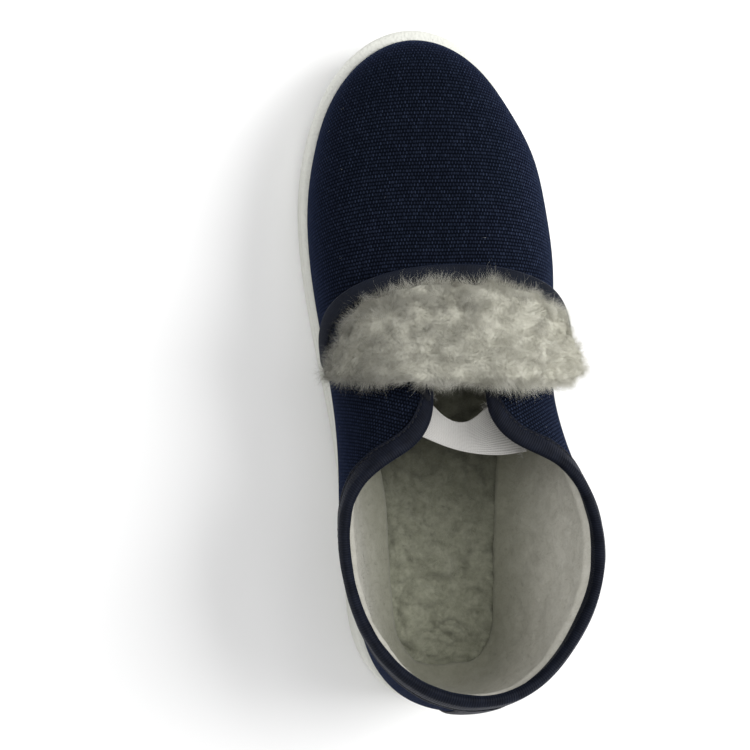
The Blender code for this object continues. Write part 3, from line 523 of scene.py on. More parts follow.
def woven_canvas(name, warp, weft, dark, light):
    """Plain weave read from the cloth map: warp threads cross thick weft threads, under painted light and shade across
    x.
    """
    sockets = {"Specular IOR Level": 0.02, "Sheen Weight": 0.09, "Sheen Roughness": 0.4}
    made, tree, shader = new_material(name, light, 0.85, {**sockets, "Sheen Tint": (0.2, 0.35, 1.0, 1.0)})
    cloth = add_node(tree, "ShaderNodeUVMap", uv_map="cloth").outputs[0]
    shifted = mixed(tree, "ADD", 0.0006, cloth, grain(tree, cloth, 120.0, 3.0, "Color"))
    parts = add_node(tree, "ShaderNodeSeparateXYZ", {"Vector": shifted})
    a = maths(tree, "DIVIDE", parts.outputs[0], warp)
    b = maths(tree, "DIVIDE", parts.outputs[1], weft)
    cross = maths(tree, "MULTIPLY", ridges(tree, a, math.pi), ridges(tree, b, math.pi))
    over = maths(tree, "MAXIMUM", cross, 0.0)
    under = maths(tree, "MULTIPLY", maths(tree, "MAXIMUM", maths(tree, "MULTIPLY", cross, -1.0), 0.0), 0.4)
    relief = maths(tree, "ADD", maths(tree, "POWER", over, 0.7), under)
    cell = add_node(tree, "ShaderNodeCombineXYZ", {0: maths(tree, "FLOOR", a), 1: maths(tree, "FLOOR", b)})
    fleck = add_node(tree, "ShaderNodeTexWhiteNoise", {"Vector": cell.outputs[0]}, noise_dimensions="2D")
    vary = maths(tree, "MULTIPLY_ADD", maths(tree, "POWER", fleck.outputs["Value"], 3.0), 0.9, 0.5)
    shine = maths(tree, "MULTIPLY", maths(tree, "POWER", maths(tree, "ADD", over, under), 1.3), vary)
    shine = maths(tree, "MULTIPLY", shine, maths(tree, "MULTIPLY_ADD", grain(tree, cloth, 35.0, 3.0), 0.6, 0.7))
    middle = tuple(0.5 * (d + l) for d, l in zip(dark, light))
    tint = colour_ramp(tree, shine, ((0.0, dark), (0.35, middle), (1.0, light)))
    # Painted light and shade: the canvas is painted darker up to x = 0 and lighter towards +x, the side the light
    # comes from.
    show(tree, shader, shaded(tree, tint, object_place(tree), 0, (0.000, 0.045), (0.80, 1.30)), relief, 0.7, 0.00035)
    return made


navy_canvas = woven_canvas("navy_canvas", 0.62 * MM, 1.45 * MM, (0.0004, 0.0008, 0.0019), (0.025, 0.034, 0.062))
dress(upper_canvas, navy_canvas, "canvas_upper", "upper")

# Vamp seams. Where vamp and quarters meet, a double row of navy thread is sewn through
# the canvas from the throat down each side to the sole.
def taken_shape():
    """Corners and faces of the object in hand, which is then removed."""
    bpy.ops.object.mode_set(mode="OBJECT")
    made = bpy.context.object
    faces = sorted(tuple(face.vertices) for face in made.data.polygons)
    shape = np.array([tuple(corner.co) for corner in made.data.vertices]), faces
    bpy.data.objects.remove(made)
    return shape


def stitch_shape():
    """One thread stitch, lying along x and one unit long: corners and faces."""
    bpy.ops.object.select_all(action="DESELECT")
    bpy.ops.mesh.primitive_uv_sphere_add(segments=8, ring_count=5, radius=1.0)
    edit_all()
    bpy.ops.transform.rotate(value=math.pi / 2, orient_axis="Y", center_override=(0, 0, 0))
    bpy.ops.transform.resize(value=(0.5, 1.0, 1.0), center_override=(0, 0, 0))
    return taken_shape()


def copies(name, corners, faces):
    """One piece from many copies of a shape: corners holds each copy's own corners."""
    count, each = corners.shape[:2]
    mesh = bpy.data.meshes.new(name)
    starts = (np.arange(count) * each)[:, None]
    all_faces = []
    for face in faces:
        all_faces += (starts + np.array(face)).tolist()
    mesh.from_pydata(corners.reshape(-1, 3), [], all_faces)
    mesh.shade_smooth()
    return placed(name, mesh)


STITCH_CORNERS, STITCH_FACES = stitch_shape()


def read_off(spots, run, values):
    """Values of a line at distances along it."""
    return np.column_stack([np.interp(spots, run, values[:, i]) for i in range(3)])


def sew(name, lines, pitch=2.6 * MM, length=1.9 * MM, thread=0.24 * MM, slant=0.12):
    """Stitches along lines of (points, normals), each sunk by half its thread."""
    made = []
    rng = np.random.default_rng(11)
    for points, normals in lines:
        run = run_along(points)
        spots = np.arange(pitch / 2, run[-1], pitch)
        up = read_off(spots, run, normals)
        way = unit(read_off(spots + 0.3 * pitch, run, points) - read_off(spots - 0.3 * pitch, run, points))
        way = unit(way + np.cross(up, way) * (slant + rng.normal(0, 0.06, (len(spots), 1))))
        side = unit(np.cross(up, way))
        up = np.cross(way, side)
        long = length * rng.uniform(0.85, 1.1, (len(spots), 1, 1))
        x, y, z = (STITCH_CORNERS[None, :, i : i + 1] for i in range(3))
        laid = way[:, None] * x * long + (side[:, None] * y + up[:, None] * z) * thread
        made.append(read_off(spots, run, points)[:, None] + laid)
    return copies(name, np.concatenate(made), STITCH_FACES)


def across_vamp(y, bow, first, last, out):
    """A line over the canvas at one y, between two angles from the top, with its normals."""
    points, normals = [], []
    for turn in np.radians(np.linspace(first, last, 60)):
        away = Vector((math.sin(turn), 0.0, math.cos(turn)))
        axis = Vector((0.0, y + bow * (turn / 1.57) ** 2, GIRTH_AXIS[1]))
        hit, normal = canvas_tree.ray_cast(axis + away * RAY, -away)[:2]
        if hit is None:
            continue
        normal = normal if normal.dot(away) > 0 else -normal
        points.append(hit + normal * out)
        normals.append(normal)
    return np.array(points), np.array(normals)


SEAM_BOW = 0.010
SEAM_FROM, SEAM_TO = 30, 88
seam_lines = []
for y in (SEAM_ALONG + 0.0010, SEAM_ALONG - 0.0012):
    for side in (1, -1):
        seam_lines.append(across_vamp(y, SEAM_BOW, SEAM_FROM * side, SEAM_TO * side, 0.08 * MM))
vamp_stitches = sew("vamp_stitches", seam_lines)


def spun_thread(name, colour, roughness, gloss, pace, dark, light, twist=0.0):
    """Plied thread: slanting bands of colour and, with a twist, of relief."""
    made, tree, shader = new_material(name, colour, roughness, {"Specular IOR Level": gloss})
    bands = {"Vector": object_place(tree), "Scale": pace, "Distortion": 2.0}
    ply = add_node(tree, "ShaderNodeTexWave", bands, bands_direction="DIAGONAL").outputs["Fac"]
    show(tree, shader, colour_ramp(tree, ply, ((0.0, dark), (1.0, light))), ply if twist else None, twist, 0.0001)
    return made


navy_thread = spun_thread(
    "navy_thread", (0.006, 0.008, 0.016), 0.6, 0.1, 900.0, (0.003, 0.004, 0.009), (0.012, 0.016, 0.030), 0.4
)
dress(vamp_stitches, navy_thread, "canvas_upper")

# Lining. Cream fleece, glued to the inside of the canvas. The binding pinches it at
# the top, and it swells out again below.
RIM_WALL = 2.4 * MM
lining_places = np.linspace(0.0, 1.0, 361)
lining_ups = np.concatenate([[-0.9, -0.5], np.linspace(0.0, 0.985, 44)])
place_grid, up_grid = np.meshgrid(lining_places, lining_ups)
lining_normal = canvas_normal(place_grid, up_grid)
lining_base = canvas_at(place_grid, up_grid)
lining_back = swelled(lining_base, lining_normal) - lining_normal * CANVAS
from_rim = np.linalg.norm(lining_base - canvas_at(lining_places, 1.0)[None], axis=-1)
lining_depth = RIM_WALL + (UPPER_WALL + 0.3 * MM - RIM_WALL) * eased((from_rim - 2.5 * MM) / (4.5 * MM))


def fleece_rise(points, sizes):
    """Height of fleece at points: rounded lumps with creases, from (size, height) pairs."""
    rise = []
    for point in points.reshape(-1, 3):
        spot = Vector(point)
        rise.append(sum(abs(noise.noise(spot / size)) * 1.6 * height for size, height in sizes))
    return np.array(rise).reshape(points.shape[:-1])


lining_lumps = fleece_rise(lining_base, ((20 * MM, 0.8 * MM), (7 * MM, 0.3 * MM))) - 0.25 * MM
lining_lumps *= eased((from_rim - 3.0 * MM) / (5 * MM))
# Low down it thickens into a cove, most on the inner side and at the heel.
above_ledge = lining_base[..., 2] - lining_base[2, :, 2]
lining_cove = 7.5 * MM - 4.0 * MM * eased((lining_base[..., 0] - 0.005) / 0.025)
lining_cove *= np.clip(1 - above_ledge / (24 * MM), 0, 1) ** 2 * eased((0.050 - lining_base[..., 1]) / 0.04)
lining_cove[above_ledge < 0] *= 0.6
lining_face = lining_base - lining_normal * (lining_depth + lining_lumps + lining_cove)[..., None]
lining_face[:, -1] = lining_face[:, 0]
fleece_lining = wrap_grid("fleece_lining", np.concatenate([lining_back, lining_face[::-1], lining_back[:1]]))


def fleece(name, dark, light, depth, shade, low=None):
    """Matt wool with a tangle of fibres in its relief; low is painted shade, multiplied into its colour deep in the
    shoe.
    """
    sockets = {"Specular IOR Level": 0.08, "Sheen Weight": 0.15, "Sheen Roughness": 0.6}
    made, tree, shader = new_material(name, light, 0.95, sockets)
    place = object_place(tree)
    bent = mixed(tree, "ADD", 0.006, place, grain(tree, place, 130.0, 4.0, "Color"))
    strands = {"Vector": bent, "Scale": 900.0, "Detail": 6.0, "Roughness": 0.7}
    fibre = add_node(tree, "ShaderNodeTexNoise", strands).outputs["Fac"]
    tuft = grain(tree, bent, 240.0, 4.0)
    mix = maths(tree, "MULTIPLY_ADD", fibre, 0.5, maths(tree, "MULTIPLY", tuft, 0.5))
    tint = colour_ramp(tree, mix, ((0.34, dark), (0.62, light)))
    # Painted shade: below 30 mm the colour is multiplied by low, fading out by 75 mm, so the wool is darker deep in
    # the shoe.
    if low:
        height = add_node(tree, "ShaderNodeSeparateXYZ", {"Vector": bent}).outputs[2]
        rise = add_node(tree, "ShaderNodeMapRange", {0: height, 1: 0.030, 2: 0.075}, interpolation_type="SMOOTHSTEP")
        tint = mixed(tree, "MIX", rise.outputs[0], mixed(tree, "MULTIPLY", 1.0, tint, (*low, 1.0)), tint)
    relief = maths(tree, "MULTIPLY_ADD", tuft, 1.4, fibre)
    show(tree, shader, shaded(tree, tint, bent, *shade), relief, 0.5, depth)
    return made


# Painted shade: the lining is painted darker towards -x, and darker low in the shoe through its low colour.
LINING_SHADE = (0, (-0.045, 0.010), (0.66, 1.0))
lining_wool = fleece("lining_wool", (0.50, 0.485, 0.42), (0.62, 0.605, 0.54), 0.0005, LINING_SHADE, (0.38, 0.39, 0.34))
dress(fleece_lining, lining_wool, "canvas_upper")

# Footbed. A pad of the same fleece, unshorn and trodden into lumps, laid loose on the
# floor of the cup.
bed_places = np.linspace(0.0, 1.0, 481)
bed_rows = []
for inset, added in ((6.2, 0.3), (4.9, 1.6), (4.3, 4.2), (4.5, 6.0)):
    flat = SOLE_CURVE.at(bed_places) - outward(bed_places) * (sole_ledge(bed_places) + inset * MM)[:, None]
    floor = sole_top(flat[:, 1]) - CUP_DEPTH
    bed_rows.append(np.column_stack([flat, floor + added * MM]))
rim = bed_rows[-1]
spine = rim.copy()
spine[:, 0] = 0.0
spine[:, 1] = np.clip(rim[:, 1], 0.034, 0.244)
for share in np.linspace(0.0, 1.0, 54)[1:]:
    row = rim * (1 - share) + spine * share
    middle = 6.0 - 1.6 * math.sin(share * 1.57)
    row[:, 2] = sole_top(row[:, 1]) - CUP_DEPTH + middle * MM
    bed_rows.append(row)
bed = np.array(bed_rows)
lumps = fleece_rise(bed * (1.0, 1.5, 1.0), ((17 * MM, 3.2 * MM), (8 * MM, 2.2 * MM), (4 * MM, 0.7 * MM)))
bed[3:, :, 2] += lumps[3:] - 0.0012
bed[3:, -1] = bed[3:, 0]
belly_rows = []
for share in np.linspace(0.0, 1.0, 6):
    row = bed_rows[0] * (1 - share) + spine * share
    row[:, 2] = sole_top(row[:, 1]) - CUP_DEPTH + 0.0003
    belly_rows.append(row)
bed_mesh = np.concatenate([np.array(belly_rows)[::-1], bed]) + SHIFT
footbed = wrap_grid("footbed", bed_mesh)
# Painted shade: the footbed is painted darker towards +y, under the vamp and tongue, and a little lighter at the heel.
BED_SHADE = (1, (-0.095, -0.010), (1.10, 0.48))
bed_wool = fleece("footbed_wool", (0.140, 0.144, 0.104), (0.225, 0.228, 0.175), 0.0006, BED_SHADE)
dress(footbed, bed_wool, "insole_fleece", "insole")

# Collar binding. Navy ribbed tape, folded over the raw edge of canvas and fleece and
# sewn through near its outer edge.
TAPE = 0.65 * MM
TAPE_COLUMNS = 721
tape_places = np.linspace(0.0, 1.0, TAPE_COLUMNS)
rim_normal = canvas_normal(tape_places, 1.0)
rim_points = canvas_at(tape_places, 1.0)
rim_rise = unit(rim_points - canvas_at(tape_places, share_for(tape_places, 3 * MM)))
rim_length = run_along(rim_points)
rng = np.random.default_rng(5)
tape_wave = np.interp(rim_length, np.linspace(0, rim_length[-1], 60), np.append(rng.normal(0, 0.14 * MM, 59), 0))
tape_wave[-1] = tape_wave[0]
edge_wave = np.interp(rim_length, np.linspace(0, rim_length[-1], 90), rng.normal(0, 0.22 * MM, 90))
edge_wave[-1] = edge_wave[0]
TAPE_SEWN = 6.3 * MM
# Along the throat it is folded narrower than round the heel.
tape_narrow = 1 - 0.24 * eased((rim_points[:, 1] + 0.066) / 0.040)


def outside_row(distance, lift):
    """Points and normals of the tape's outer part, at a distance from the fold."""
    up = share_for(tape_places, (distance + edge_wave * (distance > 6 * MM)) * tape_narrow)
    normal = canvas_normal(tape_places, up)
    return swelled(canvas_at(tape_places, up), normal) + normal * lift[:, None], normal


def tape_layer(lift, top):
    """Rows of the folded tape, lift metres above the canvas and fleece."""
    rows = []
    for distance in np.array((7.6, 7.2, 6.7, 6.3, 5.9, 5.2, 4.0, 2.8, 1.6, 0.6)) * MM:
        sewn = 0.40 * MM * math.exp(-(((distance - TAPE_SEWN) / (0.5 * MM)) ** 2))
        puff = 0.12 * MM * math.sin(min(distance / TAPE_SEWN, 1.0) * math.pi)
        rows.append(outside_row(distance, lift + tape_wave * 0.5 + (puff - sewn) * top)[0])
    for turn in np.linspace(0.1, 0.9, 7):
        bulge = math.sin(turn * math.pi) ** 0.6 * 0.55 * MM
        rows.append(rim_points - rim_normal * RIM_WALL * turn + rim_rise * (lift + bulge)[:, None])
    for distance in np.array((0.4, 1.2, 2.2, 3.2, 4.2)) * MM:
        up = share_for(tape_places, distance)
        rows.append(canvas_at(tape_places, up, -RIM_WALL - lift - tape_wave * 0.6))
    return rows


tape_over = tape_layer(np.full(TAPE_COLUMNS, 0.3 * MM + TAPE), 1.0)
tape_under = tape_layer(np.full(TAPE_COLUMNS, 0.25 * MM), 0.3)
tape_rows = np.array(tape_over + tape_under[::-1] + tape_over[:1])
tape_rows[:, -1] = tape_rows[:, 0]
width = run_along(np.array(tape_over)[:, 0])
tape_map = np.zeros(tape_rows.shape[:2] + (2,))
tape_map[..., 0] = rim_length
tape_map[: len(width), :, 1] = width[:, None]
tape_map[len(width) : -1, :, 1] = width[::-1, None]
collar_tape = wrap_grid("collar_tape", tape_rows, tape_map)


def ribbed_tape(name, pitch, dark, light):
    """Grosgrain: fine ribs across the tape."""
    sockets = {"Specular IOR Level": 0.08, "Sheen Weight": 0.03, "Sheen Tint": (0.3, 0.45, 1.0, 1.0)}
    made, tree, shader = new_material(name, light, 0.5, sockets)
    cloth = add_node(tree, "ShaderNodeUVMap", uv_map="cloth").outputs[0]
    parts = add_node(tree, "ShaderNodeSeparateXYZ", {"Vector": cloth})
    rib = maths(tree, "MULTIPLY_ADD", ridges(tree, parts.outputs[0], 2 * math.pi / pitch), 0.5, 0.5)
    relief = maths(tree, "MULTIPLY_ADD", ridges(tree, parts.outputs[1], 2 * math.pi / (0.45 * MM)), 0.12, rib)
    mix = maths(tree, "MULTIPLY", maths(tree, "MULTIPLY_ADD", rib, 0.5, 0.5), grain(tree, cloth, 180.0, 3.0))
    show(tree, shader, colour_ramp(tree, mix, ((0.1, dark), (0.7, light))), relief, 0.7, 0.00022)
    return made


navy_tape = ribbed_tape("navy_tape", 0.95 * MM, (0.0010, 0.0014, 0.0030), (0.0095, 0.0120, 0.0215))
dress(collar_tape, navy_tape, "collar_tape", "collar_binding")

# Binding stitches. One row of black thread, sewn through the tape and the canvas along
# the tape's outer edge.
sewn_line = outside_row(TAPE_SEWN, np.full(TAPE_COLUMNS, 0.75 * MM))
binding_stitches = sew("binding_stitches", [sewn_line], pitch=2.5 * MM, length=1.8 * MM, thread=0.27 * MM)
black_thread = spun_thread(
    "black_thread", (0.004, 0.005, 0.008), 0.45, 0.22, 1100.0, (0.001, 0.0012, 0.002), (0.007, 0.0085, 0.013)
)
dress(binding_stitches, black_thread, "collar_tape")

# Bar tacks. At each corner of the throat the same thread makes a bar of close stitches
# across the tape, which holds its lapped end.
bar_lines = []
for place in (0.300, 0.702):
    for offset in (-0.0014, 0.0, 0.0014):
        here = np.full(9, place + offset)
        bar_up = share_for(here, np.linspace(1.2, 6.4, 9) * MM)
        bar_lines.append((canvas_at(here, bar_up, 1.15 * MM), canvas_normal(here, bar_up)))
bar_tacks = sew("bar_tacks", bar_lines, pitch=0.9 * MM, length=1.9 * MM, thread=0.25 * MM, slant=1.6)
dress(bar_tacks, black_thread, "collar_tape")

# Heel stay. A strip of the same tape sewn down the back seam, from the binding to the
# sole.
STAY_HALF = 0.0098
STAY_MIDDLE = 0.0045
STAY_SEWN = 0.78


def closed_ends(rings):
    """Adds a point at the middle of the first and last ring, so the loft has no hole."""
    rings = np.array([[tuple(point) for point in ring] for ring in rings])
    first = np.broadcast_to(rings[0].mean(axis=0), rings[0].shape)[None]
    last = np.broadcast_to(rings[-1].mean(axis=0), rings[-1].shape)[None]
    return np.concatenate([first, rings, last])


stay_turn = STAY_HALF / edge_chords.sum()
stay_across = np.linspace(-1.0, 1.0, 25)
stay_ups = np.linspace(0.0, float(share_for(np.array([0.004]), 6.9 * MM)[0]), 40)
place_grid, up_grid = np.meshgrid(STAY_MIDDLE + stay_across * stay_turn, stay_ups)
stay_normal = canvas_normal(place_grid, up_grid)
stay_canvas = swelled(canvas_at(place_grid, up_grid), stay_normal)
stay_edge = np.clip((1 - np.abs(stay_across)) / 0.12, 0, 1) ** 0.5
stay_sunk = 0.25 * MM * np.exp(-(((np.abs(stay_across) - STAY_SEWN) / 0.06) ** 2))
stay_over = stay_canvas + stay_normal * (0.35 * MM + 0.75 * MM * stay_edge - stay_sunk)[None, :, None]
stay_under = stay_canvas + stay_normal * 0.15 * MM
stay_loft = closed_ends(np.concatenate([stay_over, stay_under[:, ::-1], stay_over[:, :1]], axis=1))
stay_map = np.zeros(stay_loft.shape[:2] + (2,))
stay_map[..., 0] = np.linspace(0.0, 0.056, len(stay_loft))[:, None]
stay_map[..., 1] = np.linspace(0.0, 0.040, stay_loft.shape[1])
heel_tape = wrap_grid("heel_tape", stay_loft, stay_map)
dress(heel_tape, navy_tape, "heel_tape", "heel_stay")
# Heel stitches. Two rows of the black thread hold the stay to the canvas, one along each
# of its edges.
stay_lines = []
for side in (-STAY_SEWN, STAY_SEWN):
    line_place = np.full(40, STAY_MIDDLE + side * stay_turn)
    line_normal = canvas_normal(line_place, stay_ups)
    line = swelled(canvas_at(line_place, stay_ups), line_normal) + line_normal * 0.92 * MM
    stay_lines.append((line[1:-1], line_normal[1:-1]))
heel_stitches = sew("heel_stitches", stay_lines)
dress(heel_stitches, black_thread, "heel_tape")

# Elastic. White knitted elastic, ribbed along its length, sewn under both sides of
# the throat, with a cord along its rear edge.
ELASTIC_EDGES = (
    # x, y of the rear edge, y of the front edge
    (-0.0240, 0.1165, 0.1300), (-0.0180, 0.1145, 0.1305), (-0.0120, 0.1118, 0.1293),
    (-0.0070, 0.1095, 0.1250), (-0.0020, 0.1073, 0.1192), (0.0030, 0.1055, 0.1162),
    (0.0080, 0.1042, 0.1160), (0.0120, 0.1035, 0.1182), (0.0160, 0.1030, 0.1222), (0.0220, 0.1028, 0.1265),
    (0.0310, 0.1040, 0.1285),
)
ELASTIC_ROWS = 29
edge_x, edge_rear, edge_front = np.array(ELASTIC_EDGES).T
elastic_x = np.linspace(edge_x[0], edge_x[-1], 81)
rear, front = np.interp(elastic_x, edge_x, edge_rear), np.interp(elastic_x, edge_x, edge_front)
for _ in range(14):
    for edge in (rear, front):
        edge[1:-1] = (edge[:-2] + edge[1:-1] * 2 + edge[2:]) / 4
across_share = (elastic_x + 0.0240) / 0.055
ELASTIC_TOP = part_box("elastic")[1][2] - 0.0006
elastic_layers = []
for lift, side in ((0.0, 1.0), (-0.0010, -1.0)):
    rows = []
    for share in np.linspace(0.0, 1.0, ELASTIC_ROWS):
        cord = 0.35 * MM * math.exp(-(((share - 0.03) / 0.035) ** 2))
        curl = 0.5 * MM * math.exp(-(((1 - share) / 0.10) ** 2))
        sag = 0.0018 * np.sin(np.pi * across_share) ** 2 * (1 + 0.6 * share)
        height = ELASTIC_TOP - sag + lift + cord * side + curl
        rows.append(np.column_stack([elastic_x, rear + (front - rear) * share, height]))
    elastic_layers.append(rows)
elastic_points = np.array(elastic_layers[0] + elastic_layers[1][::-1] + elastic_layers[0][:1])
elastic_points = closed_ends(elastic_points.swapaxes(0, 1)).swapaxes(0, 1)
elastic_map = np.zeros(elastic_points.shape[:2] + (2,))
elastic_map[..., 0] = elastic_points[..., 0]
knit_rise = np.linspace(0.0, 0.022, ELASTIC_ROWS)[:, None]
elastic_map[:ELASTIC_ROWS, :, 1] = knit_rise
elastic_map[ELASTIC_ROWS : 2 * ELASTIC_ROWS, :, 1] = knit_rise[::-1]
white_elastic = wrap_grid("white_elastic", elastic_points + SHIFT, elastic_map)
knit, tree, shader = new_material("white_knit", (0.53, 0.52, 0.50), 0.75, {"Specular IOR Level": 0.2})
cloth_map = add_node(tree, "ShaderNodeUVMap", uv_map="cloth").outputs[0]
parts = add_node(tree, "ShaderNodeSeparateXYZ", {"Vector": cloth_map})
cords = ridges(tree, parts.outputs[1], 2 * math.pi / (0.95 * MM))
relief = maths(tree, "MULTIPLY_ADD", ridges(tree, parts.outputs[0], 2 * math.pi / (0.7 * MM)), 0.4, cords)
mix = maths(tree, "MULTIPLY_ADD", relief, 0.35, 0.5)
tint = colour_ramp(tree, mix, ((0.0, (0.34, 0.332, 0.315)), (0.6, (0.53, 0.52, 0.50))))
show(tree, shader, tint, relief, 0.5, 0.00018)
dress(white_elastic, knit, "white_elastic", "elastic")

# Tongue. The canvas of the tongue lies face down on the vamp, with its taped edge
# towards the toe.
TONGUE_ROOT = 0.1335
TONGUE_SKEW = 0.0030
TONGUE_LENGTH = 0.0435
TONGUE_HALF = 0.0585
TONGUE_SHIFT = 0.0005
TONGUE_SIDE = 0.0110
TONGUE_ROUND = 2.4
TONGUE_RADIUS = 0.060
TONGUE_AXIS = (0.003, 0.020)
TONGUE_REST = 2.1 * MM
TONGUE_CANVAS = 1.6 * MM
TONGUE_EASE = 0.7 * MM

throat_pairs = ((0.45, 0.55), (0.40, 0.60), (0.36, 0.64), (0.33, 0.67), (0.312, 0.69))
throat_pairs += ((0.29, 0.712), (0.268, 0.735), (0.24, 0.762))
throat_lines = []
for outer, inner in throat_pairs:
    left, right = canvas_at(inner, 1.0), canvas_at(outer, 1.0)
    reach = unit(right - left) * 0.004
    sink = np.array((0.0, 0.0, 0.0006))
    throat_lines.append((right + reach - sink, left - reach - sink))
throat_lines.insert(0, tuple(end + (0.0, 0.003, 0.0) for end in throat_lines[0]))
tongue_points = [tuple(p) for p in canvas_corners]
tongue_faces = list(canvas_quads)
for a, b in zip(throat_lines, throat_lines[1:]):
    start = len(tongue_points)
    tongue_points += [tuple(a[0]), tuple(a[1]), tuple(b[1]), tuple(b[0])]
    tongue_faces.append((start, start + 1, start + 2, start + 3))
tongue_bed = BVHTree.FromPolygons(tongue_points, tongue_faces)


def lay_over(across, along, out):
    """Point of the folded tongue: out metres above the upper, across metres round it."""
    angle = (across + TONGUE_SHIFT) / TONGUE_RADIUS
    away = Vector((math.sin(angle), 0.0, math.cos(angle)))
    axis = Vector((TONGUE_AXIS[0] + SHIFT[0], along + SHIFT[1], TONGUE_AXIS[1]))
    hit = tongue_bed.ray_cast(axis + away * RAY, -away)[0]
    spring = 0.0036 if across > 0 else 0.0015
    return hit + away * (out + spring * min(abs(across) / TONGUE_HALF, 1.0) ** 3)


def tongue_root(across):
    return TONGUE_ROOT - TONGUE_SKEW * across / TONGUE_HALF


def tongue_free(across, inset=0.0):
    """The folded tongue's free edge: how far along it lies at a place across."""
    share = min(abs(across) / (TONGUE_HALF - inset), 1.0)
    reach = TONGUE_ROOT + TONGUE_LENGTH - inset
    side = tongue_root(across) + max(TONGUE_SIDE - inset, 0.004)
    return side + (reach - side) * (1 - share**TONGUE_ROUND) ** (1 / 1.8)


def tongue_columns(count, inset=0.0):
    return [(TONGUE_HALF - inset) * math.sin(math.pi / 2 * (2 * i / count - 1)) for i in range(count + 1)]


tongue_rings = []
for across in tongue_columns(64):
    root, free = tongue_root(across), tongue_free(across)
    alongs = [root + (free - root) * j / 20 for j in range(21)]
    ring = [lay_over(across, along, TONGUE_REST) for along in alongs]
    ring += [lay_over(across, along, TONGUE_REST + TONGUE_CANVAS) for along in alongs[::-1]]
    tongue_rings.append(ring + ring[:1])
tongue_loft = closed_ends(tongue_rings)
folded_tongue = wrap_grid("folded_tongue", tongue_loft, vamp_cloth(tongue_loft))
dress(folded_tongue, navy_canvas, "tongue_canvas", "tongue")

# Tongue binding. The same tape, pressed flat round the free edge of the tongue.
columns = tongue_columns(128)
side_rises = [TONGUE_SIDE * j / 6 for j in range(6)]
path = [(columns[0], tongue_root(columns[0]) + rise) for rise in side_rises]
path += [(across, tongue_free(across)) for across in columns]
path += [(columns[-1], tongue_root(columns[-1]) + rise) for rise in reversed(side_rises)]
tape_low = TONGUE_REST - TONGUE_EASE
tape_high = TONGUE_REST + TONGUE_CANVAS + TONGUE_EASE
tape_section = [(5.6, tape_low - 0.5 * MM), (3.0, tape_low - 0.8 * MM), (0.8, tape_low - 0.8 * MM)]
for turn in np.linspace(-80, 80, 7):
    middle, half = (tape_low + tape_high) / 2, (tape_high - tape_low) / 2 + 0.8 * MM
    turned = math.radians(turn)
    tape_section.append((0.3 - 1.1 * math.cos(turned), middle + half * math.sin(turned)))
tape_section += [(0.9, tape_high + 0.85 * MM), (2.4, tape_high + 0.95 * MM), (4.2, tape_high + 0.8 * MM)]
tape_section += [(5.6, tape_high + 0.45 * MM), (5.6, tape_high - 0.1 * MM), (2.0, tape_high - 0.1 * MM)]
tape_section += [(0.3, tape_high - 0.3 * MM), (0.3, tape_low + 0.3 * MM), (2.0, tape_low + 0.1 * MM)]
tape_section += [(5.6, tape_low + 0.1 * MM)]
tongue_tape_rings = []
for i, here in enumerate(path):
    before, after = path[max(i - 1, 0)], path[min(i + 1, len(path) - 1)]
    heading = Vector((after[0] - before[0], after[1] - before[1])).normalized()
    inward = Vector((heading.y, -heading.x))
    from_end = min(i, len(path) - 1 - i)
    slim = 1.0 - 0.6 * (1 - min(from_end / 3, 1.0)) ** 2
    ring = []
    for w, out in tape_section:
        w, out = 2.5 + (w - 2.5) * slim, tape_low + (out - tape_low) * slim
        ring.append(lay_over(here[0] + inward.x * w * MM, here[1] + inward.y * w * MM, out))
    tongue_tape_rings.append(ring + ring[:1])
tongue_tape_loft = closed_ends(tongue_tape_rings)
tongue_tape_map = np.zeros(tongue_tape_loft.shape[:2] + (2,))
tongue_tape_map[..., 0] = run_along(tongue_tape_loft[:, 5])[:, None]
tongue_tape_map[..., 1] = np.linspace(0, 20 * MM, tongue_tape_loft.shape[1])
tongue_tape = wrap_grid("tongue_tape", tongue_tape_loft, tongue_tape_map)
satin_tape = ribbed_tape("satin_tape", 0.6 * MM, (0.0035, 0.0045, 0.008), (0.011, 0.014, 0.023))
dress(tongue_tape, satin_tape, "tongue_tape", "tongue_binding")

